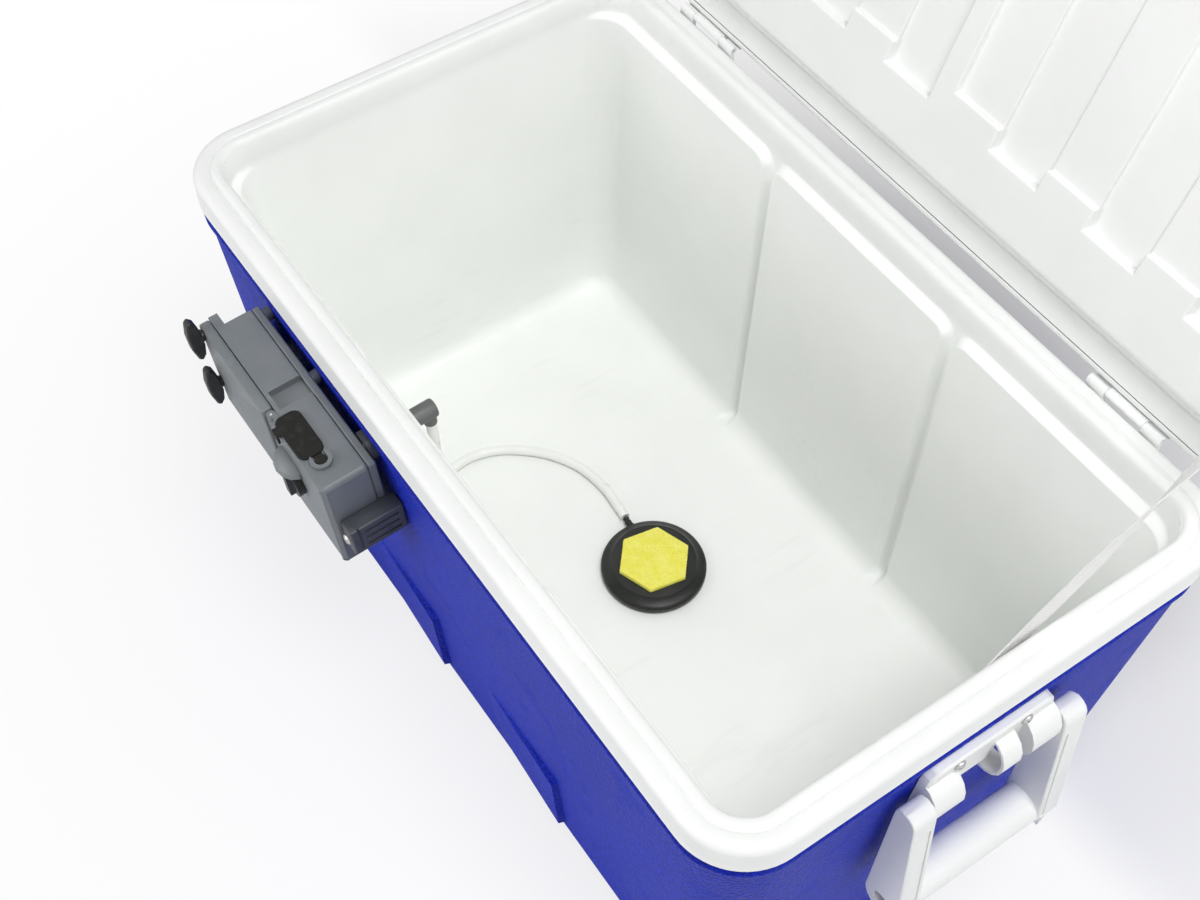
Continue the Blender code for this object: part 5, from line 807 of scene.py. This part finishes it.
for name, screws in (("chest_screws", CHEST_SCREWS), ("lid_screws", LID_SCREWS)):
    seats = []
    outs = []
    for node, out in screws.items():
        out = Vector(out).normalized()
        points = [v.co for v in frame["nodes"][node].data.vertices]
        top = max(p.dot(out) for p in points)
        crown = [p for p in points if p.dot(out) > top - 1e-5]
        middle = sum(crown, Vector()) / len(crown)
        seats.append(middle - out * SCREW_HEAD_HEIGHT)
        outs.append(out)
    seat_mesh = bpy.data.meshes.new("seats")
    seat_mesh.from_pydata([tuple(p) for p in seats], [], [])
    facing = seat_mesh.attributes.new("facing", "FLOAT_VECTOR", "POINT")
    facing.data.foreach_set("vector", [c for out in outs for c in out])
    pan = Recipe(name, head=SCREW_HEAD, rise=SCREW_HEAD_HEIGHT, shank=SCREW_SHANK, depth=SCREW_DEPTH,
                 slot=SCREW_SLOT, seed=7)
    ball = pan.node("GeometryNodeMeshUVSphere", None, {"Segments": 24, "Rings": 12, "Radius": 1.0})
    flattened = pan.vector(pan.given("head"), pan.given("head"), pan.given("rise"))
    dome = pan.node("GeometryNodeTransform", None, {"Geometry": ball, "Scale": flattened})
    below = pan.node("GeometryNodeMeshCube", None, {"Size": (0.02, 0.02, 0.01)})
    below = pan.node("GeometryNodeTransform", None, {"Geometry": below, "Translation": (0.0, 0.0, -0.005)})
    tools = pan.node("GeometryNodeJoinGeometry")
    slots = [below]
    for across in (0, 1):
        long_way = pan.given("head") * 1.25
        sizes = (long_way, pan.given("slot")) if across else (pan.given("slot"), long_way)
        blade = pan.node("GeometryNodeMeshCube", None, {"Size": pan.vector(*sizes, pan.given("rise"))})
        lifted = pan.vector(0.0, 0.0, pan.given("rise"))
        slots.append(pan.node("GeometryNodeTransform", None, {"Geometry": blade, "Translation": lifted}))
    for tool in slots:
        pan.tree.links.new(tool.socket, tools.socket.node.inputs[0])
    cut = pan.node("GeometryNodeMeshBoolean", {"operation": "DIFFERENCE", "solver": "EXACT"},
                   {"Mesh 1": dome, "Mesh 2": tools, "Self Intersection": True})
    rod = pan.node("GeometryNodeMeshCylinder", None, {
        "Vertices": 12, "Radius": pan.given("shank"), "Depth": pan.given("depth")})
    sunk = pan.vector(0.0, 0.0, pan.given("depth") * -0.5)
    rod = pan.node("GeometryNodeTransform", None, {"Geometry": rod, "Translation": sunk})
    whole = pan.node("GeometryNodeJoinGeometry")
    for part in (cut, rod):
        pan.tree.links.new(part.socket, whole.socket.node.inputs[0])
    aim = pan.node("GeometryNodeInputNamedAttribute", {"data_type": "FLOAT_VECTOR"}, {"Name": "facing"})
    upright = pan.node("FunctionNodeAlignRotationToVector", {"axis": "Z"}, {"Vector": aim})
    chance = pan.node("FunctionNodeRandomValue", {"data_type": "FLOAT"},
                      {2: 0.0, 3: 1.5, "Seed": pan.given("seed")}, 1)
    spin = pan.node("FunctionNodeAxisAngleToRotation", None, {"Axis": (0.0, 0.0, 1.0), "Angle": chance})
    turned = pan.node("FunctionNodeRotateRotation", {"rotation_space": "LOCAL"},
                      {"Rotation": upright, "Rotate By": spin})
    placed = pan.node("GeometryNodeInstanceOnPoints", None, {
        "Points": pan.given(), "Instance": whole, "Rotation": turned})
    screw_mesh = pan.run(seat_mesh, placed, plated_steel)
    screw_mesh.shade_smooth()
    screw_mesh.set_sharp_from_angle(angle=math.radians(40))
    settle(screw_mesh, name, list(screws), None)

for node in ("hinge_pin_left", "hinge_pin_right", "door_hinge_pin", "battery_plate_contact",
             "battery_spring_contact", "motor", "motor_eccentric"):
    dressed(node, plated_steel)

# The strap is a flat white band of woven polypropylene, screwed to the wall just under the rim and
# to the underside of the lid's edge. It stops the open lid, and turns a quarter on its way up.
STRAP_WIDTH = 0.020
STRAP_THICKNESS = 0.0012
STRAP_FOOT = Vector((0.30543, 0.002, 0.316))
STRAP_LID_X = 0.312
STRAP_LID_REACH = 0.245
STRAP_RECESS = 0.0042
STRAP_TAB = 0.009
STRAP_UPRIGHT = 0.17
STRAP_TAB_HALF = 0.0085
STRAP_STEPS = 96
STRAP_SECTION = ((-1, 1), (-0.9, 1.25), (-0.3, 1), (0.3, 1), (0.9, 1.25), (1, 1), (1, -1), (0.9, -1.25),
                 (0.3, -1), (-0.3, -1), (-0.9, -1.25), (-1, -1))
strap_face = LID_SEAT + STRAP_RECESS - HINGE_Z - 0.0003
strap_end = lid_place @ Vector((STRAP_LID_X, -STRAP_LID_REACH, strap_face - STRAP_THICKNESS / 2))
strap_along = (strap_end - STRAP_FOOT).normalized()
strap_start = STRAP_FOOT - strap_along * STRAP_TAB
strap_foot_x = STRAP_FOOT.x - STRAP_TAB * CAVITY_DRAFT
bm = bmesh.new()
weave_map = bm.loops.layers.uv.new("weave")
sections = []
for step in range(STRAP_STEPS + 1):
    share = step / STRAP_STEPS
    ease = min(1.0, max(0.0, (share - 0.25) / 0.6))
    turn = math.pi / 2 * ramp(ease, 0.0, 1.0)
    across = strap_along.cross(Vector((1.0, 0.0, 0.0))).normalized()
    across = Matrix.Rotation(turn, 3, strap_along) @ across
    normal = strap_along.cross(across).normalized()
    middle = strap_start.lerp(strap_end, share)
    outward = max(0.0, share - STRAP_UPRIGHT) / (1.0 - STRAP_UPRIGHT)
    middle.x = strap_foot_x + (strap_end.x - strap_foot_x) * outward
    loop = []
    for side_share, lift in STRAP_SECTION:
        place = middle + across * (STRAP_WIDTH / 2 * side_share) + normal * (STRAP_THICKNESS * 0.4 * lift)
        loop.append(bm.verts.new(place))
    sections.append(loop)
band = len(STRAP_SECTION)
for number, (lower, upper) in enumerate(zip(sections, sections[1:])):
    for i in range(band):
        j = (i + 1) % band
        face = bm.faces.new((lower[i], lower[j], upper[j], upper[i]))
        corner_counts = ((i, number), (i + 1, number), (i + 1, number + 1), (i, number + 1))
        for corner, (u, v) in zip(face.loops, corner_counts):
            corner[weave_map].uv = (u / band, v / STRAP_STEPS)
bm.faces.new(sections[0])
bm.faces.new(sections[-1])
tab_low = Vector((STRAP_LID_X - STRAP_TAB_HALF, -STRAP_LID_REACH - STRAP_TAB, strap_face - STRAP_THICKNESS))
tab_high = Vector((STRAP_LID_X + STRAP_TAB_HALF, -STRAP_LID_REACH + STRAP_TAB, strap_face))
tab_place = Matrix.Translation((tab_low + tab_high) / 2) @ Matrix.Diagonal((*(tab_high - tab_low), 1.0))
bmesh.ops.create_cube(bm, size=1.0, matrix=lid_place @ tab_place)
bmesh.ops.recalc_face_normals(bm, faces=bm.faces)
strap_mesh = bpy.data.meshes.new("strap")
bm.to_mesh(strap_mesh)
bm.free()
strap_mesh.shade_smooth()
strap_mesh.set_sharp_from_angle(angle=math.radians(50))
woven = Finish("woven_white_strap", Sheen_Weight=0.15)
weave_place = woven.node("ShaderNodeUVMap", {"uv_map": "weave"})
thread_sets = []
for direction, counts in (("X", (10.0, 1.0, 1.0)), ("Y", (1.0, 60.0, 1.0))):
    spaced = woven.node("ShaderNodeMapping", None, {"Vector": weave_place, "Scale": counts})
    bands = {"wave_type": "BANDS", "bands_direction": direction, "wave_profile": "SIN"}
    even = {"Vector": spaced, "Scale": 1.0, "Distortion": 0.0}
    thread_sets.append(woven.node("ShaderNodeTexWave", bands, even, 1))
ribs, picks = thread_sets
weave = ribs * 0.6 + picks * 0.4
strap_tone = woven.mixed(weave, (0.80, 0.80, 0.79), (0.90, 0.90, 0.89))
woven_strap = woven.close(strap_tone, 0.52 + 0.1 * picks, weave, 0.0002)
strap = bpy.data.objects.new("lid_strap_band", strap_mesh)
strap_mesh.materials.append(woven_strap)
scene.collection.objects.link(strap)
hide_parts("lid_strap")
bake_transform(strap)

# A white moulded swing handle hangs on a bracket at each end wall. The bracket is the same plastic
# and is held by two screws.
for side in ("right", "left"):
    refined("handle_bracket_" + side, white_lid, 0.0010, 3)
    refined("handle_" + side, white_lid, 0.0012, 3)

# The drain low at the right end is a white moulded spout with a thread. A nut inside the chest
# holds it, and a winged cap screws over its mouth.
for node in ("drain_spout", "drain_nut", "drain_cap"):
    refined(node, white_lid, 0.0004)

# The pump case is grey ABS with a fine spark texture: a box with a walled recess in its top, its
# back plate, and the battery door, which swings on a steel pin and is held by two thumb knobs.
PUMP_RIGHT = -0.0445
PUMP_FOOT = (-0.194, 0.325)
PUMP_LEAN = (0.99756, 0.06983)
END_FROM = -0.203
END_ROUND = 0.0026
case = Finish("grey_case_moulding", Specular_IOR_Level=0.5)
spark = case.cloud(2600.0, 2.0)
case_patches = case.cloud(25.0, 4.0)
handled = (case.cloud(120.0, 5.0) * case.cloud(20.0, 2.0)).ease(0.30, 0.42)
case_tone = case.mixed(case_patches.ease(0.3, 0.7), (0.155, 0.172, 0.182), (0.185, 0.20, 0.208))
case_tone = case.mixed(handled * 0.22, case_tone, (0.30, 0.31, 0.32))
grey_case = case.close(case_tone, 0.40 + 0.12 * case_patches + 0.1 * handled, spark, 0.00009)


def on_end(start, end):
    """True for the edges round the outer part of the case's right end."""
    return min(start.x, end.x) > PUMP_RIGHT - 0.0015 and max(start.y, end.y) < END_FROM


def on_pump(u, v, w):
    """A place on the pump: u along the chest, v out from its back and w down from the rim's foot."""
    straight, leant = PUMP_LEAN
    return Vector((u, PUMP_FOOT[0] - v * straight + w * leant, PUMP_FOOT[1] - v * leant - w * straight))


def pump_block(u, v, w):
    """A closed box between two places along each of the pump's directions."""
    bm = bmesh.new()
    corners = [bm.verts.new(on_pump(u[i], v[j], w[k])) for i in (0, 1) for j in (0, 1) for k in (0, 1)]
    bmesh.ops.convex_hull(bm, input=corners)
    bmesh.ops.recalc_face_normals(bm, faces=bm.faces)
    mesh = bpy.data.meshes.new("block")
    bm.to_mesh(mesh)
    bm.free()
    return mesh


# The recess's walls and room, and room at the ring for the socket cover's swing.
pocket_walls = pump_block((-0.1388, -0.1182), (0.0075, 0.0382), (0.0250, 0.0315))
pocket_room = pump_block((-0.1373, -0.1197), (0.0090, 0.0367), (0.0200, 0.0298))
swing_room = pump_block((-0.0760, -0.0720), (0.0285, 0.0450), (0.0195, 0.0225))
refined("pump_housing", grey_case, 0.0005, 3, rounder=on_end, round_width=END_ROUND,
        tools=(("UNION", pocket_walls), ("DIFFERENCE", pocket_room), ("DIFFERENCE", swing_room)))
for node in ("pump_back_cover", "battery_door"):
    refined(node, grey_case, 0.0005)

# The unit's black pieces are the thumb knobs and the switch, moulded in hard plastic, and the soft
# rubber socket cover, which hangs on its own loop. The pump's diaphragm is the same rubber.


def moulded(name, gloss, patch, span, tones, roughness, swing, grain_scale, depth):
    """A plain moulding: two tones in soft patches under a fine grain."""
    made = Finish(name, Specular_IOR_Level=gloss)
    patches = made.cloud(*patch)
    tone = made.mixed(patches.ease(*span), *tones)
    return made.close(tone, roughness + swing * patches, made.cloud(grain_scale, 2.0), depth)


black_moulding = moulded("black_moulding", 0.38, (60.0, 4.0), (0.35, 0.7),
                         ((0.009, 0.010, 0.009), (0.018, 0.019, 0.018)), 0.30, 0.16, 2200.0, 0.00005)
for node in ("door_knob_1", "door_knob_2", "switch_knob"):
    refined(node, black_moulding, 0.0008, 3)
soft_rubber = moulded("black_soft_rubber", 0.25, (140.0, 5.0), (0.45, 0.75),
                      ((0.007, 0.007, 0.006), (0.022, 0.021, 0.019)), 0.55, 0.2, 1800.0, 0.00006)
for node in ("socket_cover", "socket_cover_root"):
    refined(node, soft_rubber, 0.0005, 2)
dressed("diaphragm", soft_rubber)

# Two dark grey moulded clips, screwed to the wall, hold the unit. A fitting through the wall and a
# lighter grey elbow on its inner end lead the air from the pump's valve block to the tube.
dark_moulding = moulded("dark_grey_moulding", 0.5, (40.0, 4.0), (0.3, 0.7),
                        ((0.044, 0.048, 0.058), (0.058, 0.062, 0.072)), 0.36, 0.14, 2400.0, 0.00008)
for node in ("pump_clip_left", "pump_clip_right", "bulkhead_fitting", "valve_block"):
    refined(node, dark_moulding, 0.0005)
elbow_moulding = moulded("elbow_grey_moulding", 0.45, (60.0, 4.0), (0.3, 0.7),
                         ((0.105, 0.108, 0.108), (0.125, 0.128, 0.128)), 0.40, 0.12, 2400.0, 0.00006)
refined("elbow", elbow_moulding, 0.0014, 3)

# Two D cells in printed sleeves stand side by side behind the battery door, between steel contacts:
# a plate above and a spring below.
sleeve = Finish("cell_sleeve", Metallic=0.3)
sleeve_band = sleeve.node("ShaderNodeSeparateXYZ", None, {0: sleeve.place}, 2).ease(0.262, 0.264)
sleeve_tone = sleeve.mixed(sleeve_band, (0.10, 0.10, 0.11), (0.62, 0.42, 0.14))
cell_sleeve = sleeve.close(sleeve_tone, 0.22 + 0.1 * sleeve.cloud(200.0))
for node in ("battery_1", "battery_2"):
    dressed(node, cell_sleeve)

# The airstone is a weighted black disc with a barb for the tube, and a six-sided diffuser of
# sintered yellow grains let into its top.
STONE_AT = (-0.0095, 0.0096, 0.0283)
STONE_PROFILE = ((0.0395, 0.0), (0.0412, 0.0003), (0.0424, 0.0011), (0.0430, 0.0022), (0.0430, 0.0056),
                 (0.0427, 0.0068), (0.0418, 0.0078), (0.0403, 0.0086), (0.0372, 0.0103), (0.0352, 0.0121),
                 (0.0346, 0.0128), (0.0335, 0.0130))
HEX_RADIUS = 0.0305
HEX_TURN = math.radians(49.3)
HEX_TOP = 0.0168
HEX_FOOT = 0.0103
HEX_EASE = 0.0009
BARB_TURN = math.radians(171)
BARB_HEIGHT = 0.0043
BARB_PROFILE = ((0.0385, 0.0036), (0.0440, 0.0036), (0.0445, 0.0026), (0.0478, 0.0030), (0.0490, 0.0021),
                (0.0512, 0.0028), (0.0524, 0.0019), (0.0529, 0.0014))
DISC_SIDES = 72
BARB_SIDES = 20


def spun(bm, rings):
    """Walls between closed rings of points, and a cap at each end."""
    rings = [[bm.verts.new(point) for point in ring] for ring in rings]
    for lower, upper in zip(rings, rings[1:]):
        for i in range(len(lower)):
            j = (i + 1) % len(lower)
            bm.faces.new((lower[i], lower[j], upper[j], upper[i]))
    bm.faces.new(rings[0])
    bm.faces.new(rings[-1])


bm = bmesh.new()
disc_turns = [math.tau * i / DISC_SIDES for i in range(DISC_SIDES)]
spun(bm, [[(radius * math.cos(turn), radius * math.sin(turn), z) for turn in disc_turns]
          for radius, z in STONE_PROFILE])
barb_along = Vector((math.cos(BARB_TURN), math.sin(BARB_TURN), 0.0))
barb_side = Vector((-barb_along.y, barb_along.x, 0.0))
barb_turns = [math.tau * i / BARB_SIDES for i in range(BARB_SIDES)]
spun(bm, [[barb_along * out + barb_side * radius * math.cos(turn)
           + Vector((0.0, 0.0, BARB_HEIGHT + radius * math.sin(turn))) for turn in barb_turns]
          for out, radius in BARB_PROFILE])
bmesh.ops.recalc_face_normals(bm, faces=bm.faces)
bmesh.ops.translate(bm, vec=STONE_AT, verts=bm.verts)
base_mesh = bpy.data.meshes.new("stone base")
bm.to_mesh(base_mesh)
bm.free()
base_mesh.shade_smooth()
base_mesh.set_sharp_from_angle(angle=math.radians(38))
settle(base_mesh, "airstone_base_disc", ["airstone_base"], black_moulding)

sintered = Finish("sintered_yellow_stone", Specular_IOR_Level=0.3)
pores = sintered.pebbles(1700.0)
speck = sintered.cloud(900.0, 4.0)
blotch = sintered.cloud(110.0, 3.0)
stone_tone = sintered.mixed(blotch.ease(0.3, 0.7), (0.93, 0.87, 0.12), (0.97, 0.92, 0.21))
stone_tone = sintered.mixed(speck.ease(0.52, 0.72) * 0.6, stone_tone, (0.74, 0.66, 0.05))
yellow_stone = sintered.close(stone_tone, 0.80 + 0.15 * pores, 1.0 - pores, 0.0003)
hex_middle = (STONE_AT[0], STONE_AT[1], STONE_AT[2] + (HEX_TOP + HEX_FOOT) / 2)
hex_place = Matrix.Translation(hex_middle) @ Matrix.Rotation(HEX_TURN, 4, "Z")
bm = bmesh.new()
bmesh.ops.create_cone(bm, cap_ends=True, segments=6, radius1=HEX_RADIUS, radius2=HEX_RADIUS,
                      depth=HEX_TOP - HEX_FOOT, matrix=hex_place)
bmesh.ops.bevel(bm, geom=list(bm.edges), offset=HEX_EASE, segments=3, affect="EDGES", profile=0.6)
hex_mesh = bpy.data.meshes.new("diffuser block")
bm.to_mesh(hex_mesh)
bm.free()
grains = Recipe("sintered_grains", size=0.00042, per_square_metre=430000.0, seed=11)
scattered = grains.node("GeometryNodeDistributePointsOnFaces", None, {
    "Mesh": grains.given(), "Density": grains.given("per_square_metre"), "Seed": grains.given("seed")})
pip = grains.node("GeometryNodeMeshIcoSphere", None, {"Radius": grains.given("size"), "Subdivisions": 1})
varied = grains.node("FunctionNodeRandomValue", {"data_type": "FLOAT"},
                     {2: 0.45, 3: 1.0, "Seed": grains.given("seed")}, 1)
turn_any = grains.node("FunctionNodeRandomValue", {"data_type": "FLOAT_VECTOR"},
                       {0: (0.0, 0.0, 0.0), 1: (6.2, 6.2, 6.2), "Seed": grains.given("seed")}, 0)
sown = grains.node("GeometryNodeInstanceOnPoints", None, {
    "Points": scattered, "Instance": pip, "Scale": grains.vector(varied, varied, varied),
    "Rotation": grains.node("FunctionNodeEulerToRotation", None, {0: turn_any})})
block_and_grains = grains.node("GeometryNodeJoinGeometry")
for part in (grains.given(), sown):
    grains.tree.links.new(part.socket, block_and_grains.socket.node.inputs[0])
stone_mesh = grains.run(hex_mesh, block_and_grains, yellow_stone)
stone_mesh.shade_smooth()
stone_mesh.set_sharp_from_angle(angle=math.radians(60))
settle(stone_mesh, "diffuser_grains", ["diffuser"], None)
